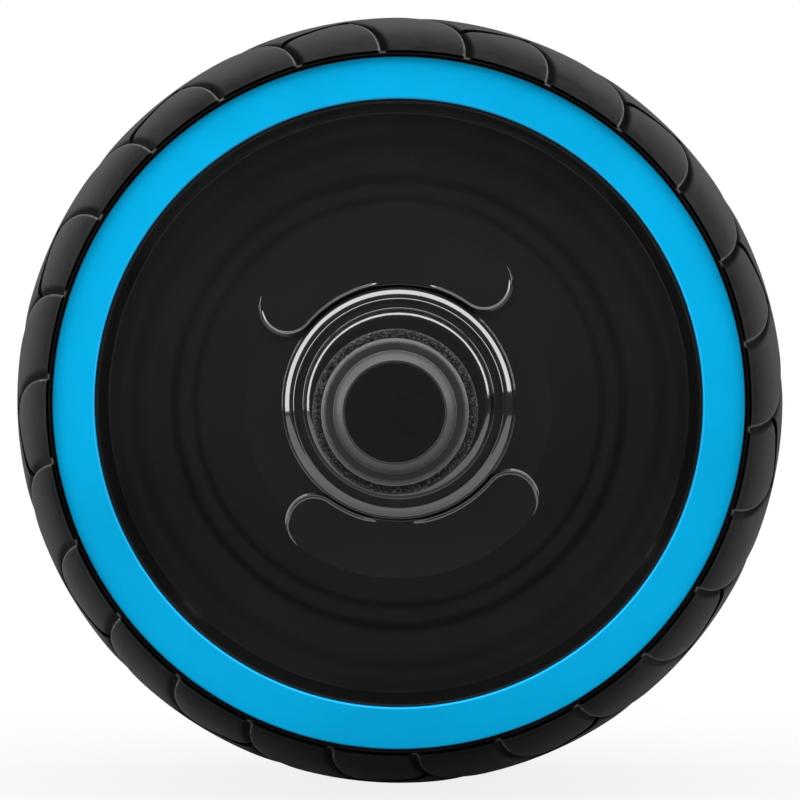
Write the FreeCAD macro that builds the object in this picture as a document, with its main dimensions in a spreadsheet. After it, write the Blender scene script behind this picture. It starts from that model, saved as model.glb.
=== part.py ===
import FreeCAD, Part
import math
import os
from types import SimpleNamespace

import Sketcher

# Ab wheel roller: a wide treaded wheel that spins on a steel bar with a foam grip at each end.
# Each piece is drawn with the bar along its own Z axis, which points out of the wheel. Seen from
# outside, X then points right and Y points up. The right-hand side of the roller faces -Y.

# Driving sizes in millimetres, degrees and counts, with what each one measures
SIZES = [
    ("crown_radius", 95.0, "wheel axis to the middle of the tread"),
    ("barrel_arc", 153.0, "radius of the tread's bulge in section"),
    ("tyre_half_width", 59.2, "mid-plane to the tyre's end lip"),
    ("tyre_thickness", 5.0, "rubber over the drum"),
    ("tyre_fit", 0.05, "gap between tyre and drum"),
    ("lip_wall", 0.5, "thickness of the tyre's end lip"),
    ("lip_gap", 0.3, "tyre's end lip to the trim ring"),
    ("groove_depth", 1.1, "depth of the tread grooves"),
    ("groove_width", 1.7, "width of the long and short grooves"),
    ("groove_bend", 96.0, "radius of a groove's curve over the tread"),
    ("groove_runout", 3.0, "how far a groove is cut past the tyre's end"),
    ("elbow_reach", 26.0, "tyre's end to where a branch leaves a long groove"),
    ("short_reach", 39.0, "tyre's end to the top of a short groove"),
    ("branch_foot", 2.6, "width of a branch groove at the long groove"),
    ("branch_tip", 1.3, "width of a branch groove at the short groove"),
    ("groove_pairs", 13, "long grooves round the tyre, with a short one between each two"),
    ("tread_phase", 23.4, "angle of the first long groove"),
    ("ring_setback", 1.2, "tyre's end lip to the trim ring's face"),
    ("ring_width", 10.0, "trim ring, from its outer to its inner edge"),
    ("ring_thickness", 2.7, "trim ring, front to back"),
    ("ring_edge", 0.5, "rounding of the trim ring's edges"),
    ("ring_gap", 0.2, "trim ring to the cover's lip"),
    ("peg_radius", 1.5, "pegs on the back of the trim ring"),
    ("peg_length", 3.4, "pegs on the back of the trim ring"),
    ("peg_gap", 0.05, "clearance round a peg in its hole"),
    ("peg_room", 0.4, "clearance under a peg in its hole"),
    ("flange_thickness", 4.5, "cover's flange under the trim ring"),
    ("cover_lip_sink", 0.6, "trim ring's face to the top of the cover's lip"),
    ("shelf_width", 2.9, "steep slope just inside the trim ring"),
    ("shelf_drop", 4.5, "fall of that slope"),
    ("shelf_step", 0.5, "step from the slope to the bowl"),
    ("dish_depth", 16.0, "trim ring's face to the floor of the bowl"),
    ("cover_wall", 2.5, "wall of the bowl"),
    ("toe_width", 3.0, "flat floor round the hub boss"),
    ("pad_gap", 2.15, "hub boss to the kidney pads"),
    ("pad_width", 12.8, "width of a kidney pad"),
    ("pad_rise", 1.2, "height of a kidney pad over the floor"),
    ("pad_seat", 0.1, "how far a kidney pad is set into the floor"),
    ("pad_half_angle", 42.4, "middle of a pad to the centre of its round end"),
    ("pad_tilt", 97.0, "angle of the first pad's middle"),
    ("pad_count", 2, "kidney pads on a cover"),
    ("boss_proud", 3.0, "hub boss beyond the trim ring's face"),
    ("boss_wall", 3.05, "side wall of the hub boss"),
    ("boss_draft", 0.55, "how much wider the hub boss is at its foot"),
    ("boss_round", 3.6, "rounding of the hub boss's edge"),
    ("boss_rim", 0.4, "flat rim inside that rounding"),
    ("boss_recess", 0.4, "depth of the hub boss's face inside its rim"),
    ("boss_top_wall", 3.6, "end wall of the hub boss"),
    ("drum_wall", 3.0, "barrel wall of the drum"),
    ("web_thickness", 3.0, "disc in the middle of the drum"),
    ("hub_wall", 6.0, "wall of the drum's hub tube"),
    ("hub_gap", 3.3, "hub tube to the inside of the hub boss"),
    ("rib_thickness", 2.4, "ribs between hub tube and barrel wall"),
    ("rib_gap", 1.5, "ribs to the back of the bowl"),
    ("fixing_count", 6, "screws, pillars, ribs and pegs on each side"),
    ("pillar_radius", 3.6, "screw pillars in the drum"),
    ("pillar_skin", 0.4, "screw pillar to the outside of the drum"),
    ("pilot_depth", 13.0, "screw hole in a pillar"),
    ("screw_radius", 1.75, "cover screw's shank"),
    ("screw_length", 14.0, "cover screw's shank"),
    ("screw_fit", 0.05, "gap round the shank in a pillar"),
    ("screw_pass", 0.35, "gap round the shank in the cover"),
    ("head_radius", 3.1, "cover screw's head"),
    ("head_height", 2.0, "cover screw's head"),
    ("head_gap", 0.3, "gap round and over a head in its counterbore"),
    ("bar_radius", 12.5, "outside of the steel bar"),
    ("bar_wall", 1.5, "wall of the steel bar"),
    ("bar_half_length", 187.0, "mid-plane to the end of the steel bar"),
    ("bush_clearance", 0.05, "running clearance between bar and bush"),
    ("bush_wall", 2.5, "wall of the bush"),
    ("bush_length", 25.0, "bush below its flange"),
    ("bush_flange_width", 4.0, "bush's flange beyond its wall"),
    ("bush_flange_thickness", 2.0, "bush's flange"),
    ("press_gap", 0.03, "gap drawn where the bush is pressed in"),
    ("end_play", 0.2, "bush's flange to the thrust washer"),
    ("washer_thickness", 1.0, "thrust washer"),
    ("slip_fit", 0.1, "gap between bar and thrust washer"),
    ("sleeve_fit", 0.05, "gap between bar and collar or grip"),
    ("collar_wall", 9.4, "wall of the stop collar"),
    ("collar_width", 8.0, "stop collar along the bar"),
    ("collar_edge", 2.0, "rounding of the stop collar's outer edge"),
    ("grub_radius", 2.5, "grub screw in the collar"),
    ("grub_fit", 0.1, "gap round the grub screw"),
    ("grub_sink", 0.9, "collar's outside to the top of the grub screw"),
    ("grub_socket", 1.45, "corner radius of the grub screw's hexagon socket"),
    ("grub_socket_depth", 2.5, "hexagon socket"),
    ("grip_wall", 5.0, "foam over the bar"),
    ("grip_edge", 1.2, "rounding of the foam's edges"),
    ("plug_flange_radius", 15.5, "end plug's flange"),
    ("plug_flange_thickness", 3.2, "end plug's flange"),
    ("plug_edge", 1.2, "rounding of the end plug's flange"),
    ("plug_step_radius", 12.8, "foot of the end plug's raised middle"),
    ("plug_step_height", 0.6, "upright step at that foot"),
    ("plug_height", 8.0, "end of the bar to the tip of the end plug"),
    ("plug_rim", 0.5, "rim round the inlaid disc"),
    ("plug_fit", 0.05, "end plug's stem in the bar"),
    ("barb_count", 3, "barbs on the end plug's stem"),
    ("barb_pitch", 6.0, "barb to barb"),
    ("barb_slope", 4.0, "length of a barb's slope"),
    ("barb_height", 1.3, "barb over the stem"),
    ("disc_radius", 10.4, "inlaid disc"),
    ("disc_thickness", 1.2, "inlaid disc"),
    ("disc_fit", 0.05, "gap round the inlaid disc"),
]


class Size(float):
    """A number that keeps the sheet expression it comes from."""

    def __new__(cls, value, text=None):
        made = super().__new__(cls, value)
        made.text = text or f"{float(value):g}"
        return made

    def __add__(self, other):
        return Size(float(self) + float(other), f"({self.text} + {size(other).text})")

    def __sub__(self, other):
        return Size(float(self) - float(other), f"({self.text} - {size(other).text})")

    def __mul__(self, other):
        return Size(float(self) * float(other), f"({self.text} * {size(other).text})")

    def __truediv__(self, other):
        return Size(float(self) / float(other), f"({self.text} / {size(other).text})")

    def __rmul__(self, other):
        return size(other) * self

    def __rtruediv__(self, other):
        return size(other) / self

    def __neg__(self):
        return Size(-float(self), f"(-{self.text})")


def size(number):
    return number if isinstance(number, Size) else Size(number)


def root(number):
    return Size(math.sqrt(number), f"sqrt({number.text})")


def sine(angle):
    return Size(math.sin(math.radians(angle)), f"sin({angle.text})")


def cosine(angle):
    return Size(math.cos(math.radians(angle)), f"cos({angle.text})")


doc = FreeCAD.newDocument("AbWheelRoller")
sheet = doc.addObject("Spreadsheet::Sheet", "Sizes")
for row, (alias, number, meaning) in enumerate(SIZES, start=1):
    sheet.set(f"A{row}", meaning)
    sheet.set(f"B{row}", str(number))
    sheet.setAlias(f"B{row}", alias)
doc.recompute()
d = SimpleNamespace(**{alias: Size(number, f"Sizes.{alias}") for alias, number, meaning in SIZES})

# Where the right-hand and left-hand pieces stand: local Z points along -Y and +Y
RIGHT = FreeCAD.Placement(FreeCAD.Vector(), FreeCAD.Rotation(FreeCAD.Vector(1, 0, 0), 90))
HALF_TURN = FreeCAD.Placement(FreeCAD.Vector(), FreeCAD.Rotation(FreeCAD.Vector(0, 0, 1), 180))
SIDES = {"right": RIGHT, "left": HALF_TURN.multiply(RIGHT)}

# Levels along the bar, from the mid-plane outwards
ring_face = d.tyre_half_width - d.ring_setback
ring_back = ring_face - d.ring_thickness
drum_end = ring_back - d.flange_thickness
bowl_floor = ring_face - d.dish_depth
bowl_back = bowl_floor - d.cover_wall
rib_top = bowl_back - d.rib_gap
boss_top = ring_face + d.boss_proud
boss_face = boss_top - d.boss_recess
hub_end = boss_face - d.boss_top_wall
bush_face = boss_face + d.bush_flange_thickness
washer_back = bush_face + d.end_play
collar_back = washer_back + d.washer_thickness
collar_face = collar_back + d.collar_width
plug_seat = d.bar_half_length
plug_tip = plug_seat + d.plug_height
head_seat = ring_back - d.head_height - d.head_gap

# Radii, from the bar outwards
bush_bore = d.bar_radius + d.bush_clearance
bush_outer = bush_bore + d.bush_wall
bush_flange = bush_outer + d.bush_flange_width
hub_bore = bush_outer + d.press_gap
hub_outer = hub_bore + d.hub_wall
boss_inner = hub_outer + d.hub_gap
boss_outer = boss_inner + d.boss_wall
collar_outer = d.bar_radius + d.collar_wall
grip_outer = d.bar_radius + d.grip_wall
sleeve_bore = d.bar_radius + d.sleeve_fit
barrel_centre = d.crown_radius - d.barrel_arc


def barrel(arc, level):
    """Radius, at a level along the bar, of a barrel face whose section has that arc."""
    return barrel_centre + root(arc * arc - level * level)


tyre_bore_arc = d.barrel_arc - d.tyre_thickness
drum_arc = tyre_bore_arc - d.tyre_fit
drum_inner_arc = drum_arc - d.drum_wall
lip_outer = barrel(d.barrel_arc, d.tyre_half_width)
lip_inner = lip_outer - d.lip_wall
ring_outer = lip_inner - d.lip_gap
ring_inner = ring_outer - d.ring_width
fixing_circle = barrel(drum_arc, drum_end) - d.pillar_skin - d.pillar_radius
half_pitch = 180 / d.groove_pairs
peg_angle = 180 / d.fixing_count


def add_body(label, placement):
    body = doc.addObject("PartDesign::Body", label)
    body.Label = label
    body.Placement = placement
    return body


def origin_feature(body, role):
    return next(feature for feature in body.Origin.OriginFeatures if feature.Role == role)


def add_sketch(body, name, role, lift=None):
    """A sketch on one of the body's own planes, lifted along the plane's normal."""
    sketch = body.newObject("Sketcher::SketchObject", name)
    sketch.AttachmentSupport = [(origin_feature(body, role), "")]
    sketch.MapMode = "FlatFace"
    if lift is not None:
        sketch.setExpression(".AttachmentOffset.Base.z", lift.text)
    return sketch


def tie(sketch, constraint, number):
    index = sketch.addConstraint(constraint)
    sketch.setExpression(f"Constraints[{index}]", number.text)


def tie_point(sketch, edge, end, x, y):
    if x == 0:
        sketch.addConstraint(Sketcher.Constraint("PointOnObject", edge, end, -2))
    else:
        tie(sketch, Sketcher.Constraint("DistanceX", -1, 1, edge, end, float(x)), x)
    if y == 0:
        sketch.addConstraint(Sketcher.Constraint("PointOnObject", edge, end, -1))
    else:
        tie(sketch, Sketcher.Constraint("DistanceY", -1, 1, edge, end, float(y)), y)


def arc_between(start, end, radius, turn):
    """The short arc from start to end, turning ccw or cw."""
    chord = end - start
    left = FreeCAD.Vector(-chord.y, chord.x, 0).normalize()
    rise = math.sqrt(max(radius**2 - (chord.Length / 2) ** 2, 0.0))
    side = 1 if turn == "ccw" else -1
    centre = start + chord * 0.5 + left * (side * rise)
    angles = [math.atan2(p.y - centre.y, p.x - centre.x) for p in (start, end)]
    if turn == "cw":
        angles.reverse()
    return Part.ArcOfCircle(Part.Circle(centre, FreeCAD.Vector(0, 0, 1), radius), *angles)


def draw(sketch, *steps):
    """Draw a closed outline tied to the sheet. Each step is a corner (x, y), or
    (x, y, radius, turn) where an arc leads to that corner from the one before."""
    corners = [(size(step[0]), size(step[1])) for step in steps]
    edges = []
    for number, step in enumerate(steps):
        start = FreeCAD.Vector(*corners[number - 1], 0)
        end = FreeCAD.Vector(*corners[number], 0)
        if len(step) == 2:
            edge = sketch.addGeometry(Part.LineSegment(start, end))
            edges.append((edge, 1, 2))
            continue
        radius, turn = step[2:]
        edge = sketch.addGeometry(arc_between(start, end, radius, turn))
        edges.append((edge, 1, 2) if turn == "ccw" else (edge, 2, 1))
        tie(sketch, Sketcher.Constraint("Radius", edge, float(radius)), radius)
    for number, (edge, first, last) in enumerate(edges):
        before, _, before_last = edges[number - 1]
        sketch.addConstraint(Sketcher.Constraint("Coincident", before, before_last, edge, first))
        tie_point(sketch, edge, last, *corners[number])


def draw_circle(sketch, x, y, radius):
    centre = FreeCAD.Vector(x, y, 0)
    edge = sketch.addGeometry(Part.Circle(centre, FreeCAD.Vector(0, 0, 1), radius))
    tie(sketch, Sketcher.Constraint("Radius", edge, float(radius)), radius)
    tie_point(sketch, edge, 3, size(x), size(y))


def revolve(body, *steps):
    """Turn a half section, given as radius and level along the bar, round the bar."""
    sketch = add_sketch(body, "Section", "XZ_Plane")
    draw(sketch, *steps)
    turned = body.newObject("PartDesign::Revolution", "Turned")
    turned.Profile = sketch
    turned.ReferenceAxis = (sketch, ["V_Axis"])
    turned.Angle = 360
    doc.recompute()
    return turned


def pad(body, sketch, length, reverse=False, both_ways=False):
    raised = body.newObject("PartDesign::Pad", "Raised")
    raised.Profile = sketch
    raised.Reversed = reverse
    raised.SideType = "Symmetric" if both_ways else "One side"
    raised.setExpression("Length", length.text)
    doc.recompute()
    return raised


def pocket(body, sketch, length, reverse=False):
    before = body.Shape.Volume
    cut = body.newObject("PartDesign::Pocket", "Cut")
    cut.Profile = sketch
    cut.Reversed = reverse
    cut.setExpression("Length", length.text)
    doc.recompute()
    if body.Shape.Volume >= before:
        raise RuntimeError(f"{body.Label}: {cut.Name} cuts nothing")
    return cut


def repeat(body, features, count):
    """Repeat features evenly round the bar."""
    pattern = body.newObject("PartDesign::PolarPattern", "Repeated")
    pattern.Originals = features
    pattern.Axis = (origin_feature(body, "Z_Axis"), [""])
    pattern.Angle = 360
    pattern.setExpression("Occurrences", count.text)
    body.Tip = pattern
    doc.recompute()
    return pattern


def barrel_ring(body, outer_arc, inner_arc, level):
    """A barrel-shaped ring between two arcs, cut square at both ends."""
    revolve(
        body,
        (barrel(inner_arc, level), -level, inner_arc, "cw"),
        (barrel(outer_arc, level), -level),
        (barrel(outer_arc, level), level, outer_arc, "ccw"),
        (barrel(inner_arc, level), level),
    )


def groove_centre(reach):
    """How far a groove has curved aside at a distance from the tyre's end."""
    return d.groove_bend - root(d.groove_bend * d.groove_bend - reach * reach)


def groove_side(offset, reach):
    """One wall of a groove, offset from the groove's middle, at a distance from the tyre's end."""
    wall = d.groove_bend - offset
    return d.groove_bend - root(wall * wall - reach * reach)


def groove_sketch(cutter, name, angle):
    """A sketch that faces the axle from just under the tread, turned round the bar by an angle."""
    sketch = add_sketch(cutter, name, "YZ_Plane")
    floor = lip_outer - 3 * d.groove_depth
    turn = FreeCAD.Rotation(FreeCAD.Vector(0, 1, 0), float(angle))
    sketch.AttachmentOffset = FreeCAD.Placement(FreeCAD.Vector(), turn)
    sketch.setExpression(".AttachmentOffset.Rotation.Angle", angle.text)
    sketch.setExpression(".AttachmentOffset.Base.x", (floor * sine(angle)).text)
    sketch.setExpression(".AttachmentOffset.Base.z", (floor * cosine(angle)).text)
    return sketch


def draw_long_groove(sketch):
    """A V over the whole tread: both arms run square off the tyre's ends and curve to one tip."""
    half = d.groove_width / 2
    end = d.tyre_half_width
    run = end + d.groove_runout
    near = d.groove_bend - half
    far = d.groove_bend + half
    draw(
        sketch,
        (-half, run),
        (-half, end),
        (groove_side(-half, end), 0, far, "ccw"),
        (-half, -end, far, "ccw"),
        (-half, -run),
        (half, -run),
        (half, -end),
        (groove_side(half, end), 0, near, "cw"),
        (half, end, near, "cw"),
        (half, run),
    )


def draw_short_groove(sketch, way):
    """A groove that ends on the shoulder, at the end of the tyre that way points to."""
    half = d.groove_width / 2
    end = d.tyre_half_width
    run = end + d.groove_runout
    top = end - d.short_reach
    near = d.groove_bend - half
    far = d.groove_bend + half
    down, up = ("ccw", "cw") if way > 0 else ("cw", "ccw")
    draw(
        sketch,
        (-half, run * way),
        (-half, end * way),
        (groove_side(-half, d.short_reach), top * way, far, down),
        (groove_side(half, d.short_reach), top * way),
        (half, end * way, near, up),
        (half, run * way),
    )


def draw_branch_groove(sketch, way):
    """A tapering groove from the elbow of a long groove to the top of the next short one."""
    elbow_x = groove_centre(d.elbow_reach)
    elbow_y = d.tyre_half_width - d.elbow_reach
    top_y = d.tyre_half_width - d.short_reach
    top_radius = barrel(d.barrel_arc, top_y)
    aside = groove_centre(d.short_reach)
    upright = root(top_radius * top_radius - aside * aside)
    top_x = aside * cosine(half_pitch) - upright * sine(half_pitch)
    run_x = elbow_x - top_x
    run_y = elbow_y - top_y
    run = root(run_x * run_x + run_y * run_y)
    foot = d.branch_foot / (2 * run)
    tip = d.branch_tip / (2 * run)
    draw(
        sketch,
        (elbow_x + run_y * foot, (elbow_y - run_x * foot) * way),
        (top_x + run_y * tip, (top_y - run_x * tip) * way),
        (top_x - run_y * tip, (top_y + run_x * tip) * way),
        (elbow_x - run_y * foot, (elbow_y + run_x * foot) * way),
    )


def make_tyre():
    """A rubber barrel with thin end lips, cut by a skin-deep pattern of grooves."""
    blank = add_body("tyre_blank", RIGHT)
    revolve(
        blank,
        (barrel(tyre_bore_arc, drum_end), -drum_end),
        (barrel(tyre_bore_arc, drum_end), drum_end, tyre_bore_arc, "ccw"),
        (lip_inner, drum_end),
        (lip_inner, d.tyre_half_width),
        (lip_outer, d.tyre_half_width),
        (lip_outer, -d.tyre_half_width, d.barrel_arc, "cw"),
        (lip_inner, -d.tyre_half_width),
        (lip_inner, -drum_end),
    )
    skin = add_body("tread_skin", RIGHT)
    skin_level = d.tyre_half_width + d.groove_runout / 2
    barrel_ring(skin, d.barrel_arc + d.groove_depth, d.barrel_arc - d.groove_depth, skin_level)
    cutter = add_body("tread_cutter", RIGHT)
    reach = d.crown_radius - lip_outer + 4 * d.groove_depth
    long_sketch = groove_sketch(cutter, "LongGroove", d.tread_phase)
    draw_long_groove(long_sketch)
    cuts = [pad(cutter, long_sketch, reach)]
    branch_sketch = groove_sketch(cutter, "BranchGrooves", d.tread_phase)
    short_sketch = groove_sketch(cutter, "ShortGrooves", d.tread_phase + half_pitch)
    for way in (1, -1):
        draw_branch_groove(branch_sketch, way)
        draw_short_groove(short_sketch, way)
    cuts += [pad(cutter, branch_sketch, reach), pad(cutter, short_sketch, reach)]
    repeat(cutter, cuts, d.groove_pairs)
    grooves = doc.addObject("Part::Common", "tread_grooves")
    grooves.Base = skin
    grooves.Tool = cutter
    tyre = doc.addObject("Part::Cut", "tyre")
    tyre.Base = blank
    tyre.Tool = grooves
    return tyre


def make_drum():
    """Barrel wall, middle disc and hub tube in one, with ribs that carry the screw pillars."""
    drum = add_body("wheel_drum", RIGHT)
    web = d.web_thickness / 2
    revolve(
        drum,
        (hub_bore, -hub_end),
        (hub_outer, -hub_end),
        (hub_outer, -web),
        (barrel(drum_inner_arc, web), -web),
        (barrel(drum_inner_arc, drum_end), -drum_end, drum_inner_arc, "cw"),
        (barrel(drum_arc, drum_end), -drum_end),
        (barrel(drum_arc, drum_end), drum_end, drum_arc, "ccw"),
        (barrel(drum_inner_arc, drum_end), drum_end),
        (barrel(drum_inner_arc, web), web, drum_inner_arc, "cw"),
        (hub_outer, web),
        (hub_outer, hub_end),
        (hub_bore, hub_end),
    )
    rib_foot = hub_bore + d.hub_wall / 2
    rib_arc = drum_arc - d.drum_wall / 2
    rib_sketch = add_sketch(drum, "RibOutline", "XZ_Plane")
    draw(
        rib_sketch,
        (rib_foot, -rib_top),
        (barrel(rib_arc, rib_top), -rib_top),
        (barrel(rib_arc, rib_top), rib_top, rib_arc, "ccw"),
        (rib_foot, rib_top),
    )
    rib = pad(drum, rib_sketch, d.rib_thickness, both_ways=True)
    pillar_sketch = add_sketch(drum, "PillarOutline", "XY_Plane")
    draw_circle(pillar_sketch, fixing_circle, 0, d.pillar_radius)
    pillar = pad(drum, pillar_sketch, drum_end * 2, both_ways=True)
    repeat(drum, [rib, pillar], d.fixing_count)
    holes = []
    for name, level, reverse in (("OuterHole", drum_end, False), ("InnerHole", -drum_end, True)):
        hole_sketch = add_sketch(drum, name, "XY_Plane", level)
        draw_circle(hole_sketch, fixing_circle, 0, d.screw_radius + d.screw_fit)
        holes.append(pocket(drum, hole_sketch, d.pilot_depth, reverse))
    repeat(drum, holes, d.fixing_count)
    return drum


def draw_pad(sketch, inner, outer):
    """A kidney outline: two arcs round the bar, joined by full-round ends."""
    middle = (inner + outer) / 2
    end_radius = (outer - inner) / 2
    first = d.pad_tilt - d.pad_half_angle
    last = d.pad_tilt + d.pad_half_angle

    def at(radius, angle, along):
        return (radius * cosine(angle) - along * sine(angle), radius * sine(angle) + along * cosine(angle))

    draw(
        sketch,
        (*at(outer, first, size(0)), end_radius, "ccw"),
        (*at(outer, last, size(0)), outer, "ccw"),
        (*at(middle, last, end_radius), end_radius, "ccw"),
        (*at(inner, last, size(0)), end_radius, "ccw"),
        (*at(inner, first, size(0)), inner, "cw"),
        (*at(middle, first, -end_radius), end_radius, "ccw"),
    )


def make_side_cover(label, placement):
    """A dish with a flange under the trim ring, a hub boss in its middle and two kidney pads."""
    cover = add_body(label, placement)
    lip = ring_inner - d.ring_gap
    lip_top = ring_face - d.cover_lip_sink
    bowl_edge = lip - d.shelf_width
    shelf_foot = lip_top - d.shelf_drop
    bowl_top = shelf_foot - d.shelf_step
    bowl_foot = boss_outer + d.toe_width
    width = bowl_edge - bowl_foot
    depth = bowl_top - bowl_floor
    bowl_arc = (width * width + depth * depth) / (2 * depth)
    back_arc = bowl_arc + d.cover_wall
    back_rise = bowl_floor + bowl_arc - drum_end
    back_edge = bowl_foot + root(back_arc * back_arc - back_rise * back_rise)
    round_start = boss_outer - d.boss_round
    recess = round_start - d.boss_rim
    revolve(
        cover,
        (back_edge, drum_end, back_arc, "ccw"),
        (ring_outer, drum_end),
        (ring_outer, ring_back),
        (lip, ring_back),
        (lip, lip_top),
        (bowl_edge, shelf_foot),
        (bowl_edge, bowl_top),
        (bowl_foot, bowl_floor, bowl_arc, "cw"),
        (boss_outer + d.boss_draft, bowl_floor),
        (boss_outer, boss_top - d.boss_round),
        (round_start, boss_top, d.boss_round, "ccw"),
        (recess, boss_top),
        (recess, boss_face),
        (hub_bore, boss_face),
        (hub_bore, hub_end),
        (boss_inner, hub_end),
        (boss_inner, bowl_back),
        (bowl_foot, bowl_back),
    )
    pad_sketch = add_sketch(cover, "PadOutline", "XY_Plane", bowl_floor - d.pad_seat)
    pad_inner = boss_outer + d.pad_gap
    draw_pad(pad_sketch, pad_inner, pad_inner + d.pad_width)
    kidney = pad(cover, pad_sketch, d.pad_rise + d.pad_seat)
    repeat(cover, [kidney], d.pad_count)
    holes = []
    head_sketch = add_sketch(cover, "HeadHole", "XY_Plane", ring_back)
    draw_circle(head_sketch, fixing_circle, 0, d.head_radius + d.head_gap)
    holes.append(pocket(cover, head_sketch, ring_back - head_seat))
    shank_sketch = add_sketch(cover, "ShankHole", "XY_Plane", ring_back)
    draw_circle(shank_sketch, fixing_circle, 0, d.screw_radius + d.screw_pass)
    holes.append(pocket(cover, shank_sketch, d.flange_thickness))
    peg_sketch = add_sketch(cover, "PegHole", "XY_Plane", ring_back)
    peg_x = fixing_circle * cosine(peg_angle)
    peg_y = fixing_circle * sine(peg_angle)
    draw_circle(peg_sketch, peg_x, peg_y, d.peg_radius + d.peg_gap)
    holes.append(pocket(cover, peg_sketch, d.peg_length + d.peg_room))
    repeat(cover, holes, d.fixing_count)
    return cover


def make_trim_ring(label, placement):
    """A flat ring with rounded edges and pegs on its back."""
    ring = add_body(label, placement)
    shoulder = ring_face - d.ring_edge
    revolve(
        ring,
        (ring_inner, ring_back),
        (ring_outer, ring_back),
        (ring_outer, shoulder),
        (ring_outer - d.ring_edge, ring_face, d.ring_edge, "ccw"),
        (ring_inner + d.ring_edge, ring_face),
        (ring_inner, shoulder, d.ring_edge, "ccw"),
    )
    peg_sketch = add_sketch(ring, "PegOutline", "XY_Plane", ring_back)
    peg_x = fixing_circle * cosine(peg_angle)
    peg_y = fixing_circle * sine(peg_angle)
    draw_circle(peg_sketch, peg_x, peg_y, d.peg_radius)
    repeat(ring, [pad(ring, peg_sketch, d.peg_length, reverse=True)], d.fixing_count)
    return ring


def make_cover_screws(label, placement):
    """The screws under one trim ring, each a head and a shank."""
    screws = add_body(label, placement)
    head_sketch = add_sketch(screws, "HeadOutline", "XY_Plane", head_seat)
    draw_circle(head_sketch, fixing_circle, 0, d.head_radius)
    head = pad(screws, head_sketch, d.head_height)
    shank_sketch = add_sketch(screws, "ShankOutline", "XY_Plane", head_seat)
    draw_circle(shank_sketch, fixing_circle, 0, d.screw_radius)
    shank = pad(screws, shank_sketch, d.screw_length, reverse=True)
    repeat(screws, [head, shank], d.fixing_count)
    return screws


def make_bush(label, placement):
    """A flanged plain bearing pressed into the hub tube, running on the bar."""
    bush = add_body(label, placement)
    inner_end = boss_face - d.bush_length
    revolve(
        bush,
        (bush_bore, inner_end),
        (bush_outer, inner_end),
        (bush_outer, boss_face),
        (bush_flange, boss_face),
        (bush_flange, bush_face),
        (bush_bore, bush_face),
    )
    return bush


def make_thrust_washer(label, placement):
    washer = add_body(label, placement)
    bore = d.bar_radius + d.slip_fit
    revolve(
        washer,
        (bore, washer_back),
        (bush_flange, washer_back),
        (bush_flange, collar_back),
        (bore, collar_back),
    )
    return washer


def make_stop_collar(label, placement):
    """A collar that keeps the wheel in place, with a cross hole for its grub screw."""
    collar = add_body(label, placement)
    shoulder = collar_face - d.collar_edge
    revolve(
        collar,
        (sleeve_bore, collar_back),
        (collar_outer, collar_back),
        (collar_outer, shoulder),
        (collar_outer - d.collar_edge, collar_face, d.collar_edge, "ccw"),
        (sleeve_bore, collar_face),
    )
    hole_sketch = add_sketch(collar, "GrubHole", "XZ_Plane")
    draw_circle(hole_sketch, 0, collar_back + d.collar_width / 2, d.grub_radius + d.grub_fit)
    pocket(collar, hole_sketch, collar_outer)
    return collar


def make_collar_screw(label, placement):
    """A grub screw whose flat end bears on the bar, with a hexagon socket."""
    grub = add_body(label, placement)
    level = collar_back + d.collar_width / 2
    top = collar_outer - d.grub_sink
    shank_sketch = add_sketch(grub, "ShankOutline", "XZ_Plane", -sleeve_bore)
    draw_circle(shank_sketch, 0, level, d.grub_radius)
    pad(grub, shank_sketch, top - sleeve_bore, reverse=True)
    socket_sketch = add_sketch(grub, "SocketOutline", "XZ_Plane", -top)
    corners = [size(60 * number) for number in range(6)]
    draw(
        socket_sketch,
        *((d.grub_socket * cosine(turn), level + d.grub_socket * sine(turn)) for turn in corners),
    )
    pocket(grub, socket_sketch, d.grub_socket_depth, reverse=True)
    return grub


def make_grip(label, placement):
    """A foam sleeve with rounded edges, from the stop collar to the end of the bar."""
    grip = add_body(label, placement)
    edge = d.grip_edge
    revolve(
        grip,
        (sleeve_bore, collar_face),
        (grip_outer - edge, collar_face),
        (grip_outer, collar_face + edge, edge, "ccw"),
        (grip_outer, plug_seat - edge),
        (grip_outer - edge, plug_seat, edge, "ccw"),
        (sleeve_bore, plug_seat),
    )
    return grip


def make_end_plug(label, placement):
    """A barbed stem in the bar, a flange over the foam and a raised middle with a disc recess."""
    plug = add_body(label, placement)
    barb = d.bar_radius - d.bar_wall - d.plug_fit
    stem = barb - d.barb_height
    flange_face = plug_seat + d.plug_flange_thickness
    step_top = flange_face + d.plug_step_height
    recess = d.disc_radius + d.disc_fit
    recess_floor = plug_tip - d.disc_thickness
    start = plug_seat - (d.barb_count + 1) * d.barb_pitch
    steps = [(0, start), (stem, start)]
    for number in range(int(d.barb_count)):
        foot = start + d.barb_pitch * (number + 0.5)
        crest = foot + d.barb_slope
        steps += [(stem, foot), (barb, crest), (stem, crest)]
    steps += [
        (stem, plug_seat),
        (d.plug_flange_radius, plug_seat),
        (d.plug_flange_radius, flange_face - d.plug_edge),
        (d.plug_flange_radius - d.plug_edge, flange_face, d.plug_edge, "ccw"),
        (d.plug_step_radius, flange_face),
        (d.plug_step_radius, step_top),
        (recess + d.plug_rim, plug_tip),
        (recess, plug_tip),
        (recess, recess_floor),
        (0, recess_floor),
    ]
    revolve(plug, *steps)
    return plug


def make_plug_disc(label, placement):
    disc = add_body(label, placement)
    floor = plug_tip - d.disc_thickness
    revolve(disc, (0, floor), (d.disc_radius, floor), (d.disc_radius, plug_tip), (0, plug_tip))
    return disc


def make_handle_bar():
    bar = add_body("handle_bar", RIGHT)
    bore = d.bar_radius - d.bar_wall
    revolve(
        bar,
        (bore, -plug_seat),
        (d.bar_radius, -plug_seat),
        (d.bar_radius, plug_seat),
        (bore, plug_seat),
    )
    return bar


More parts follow.
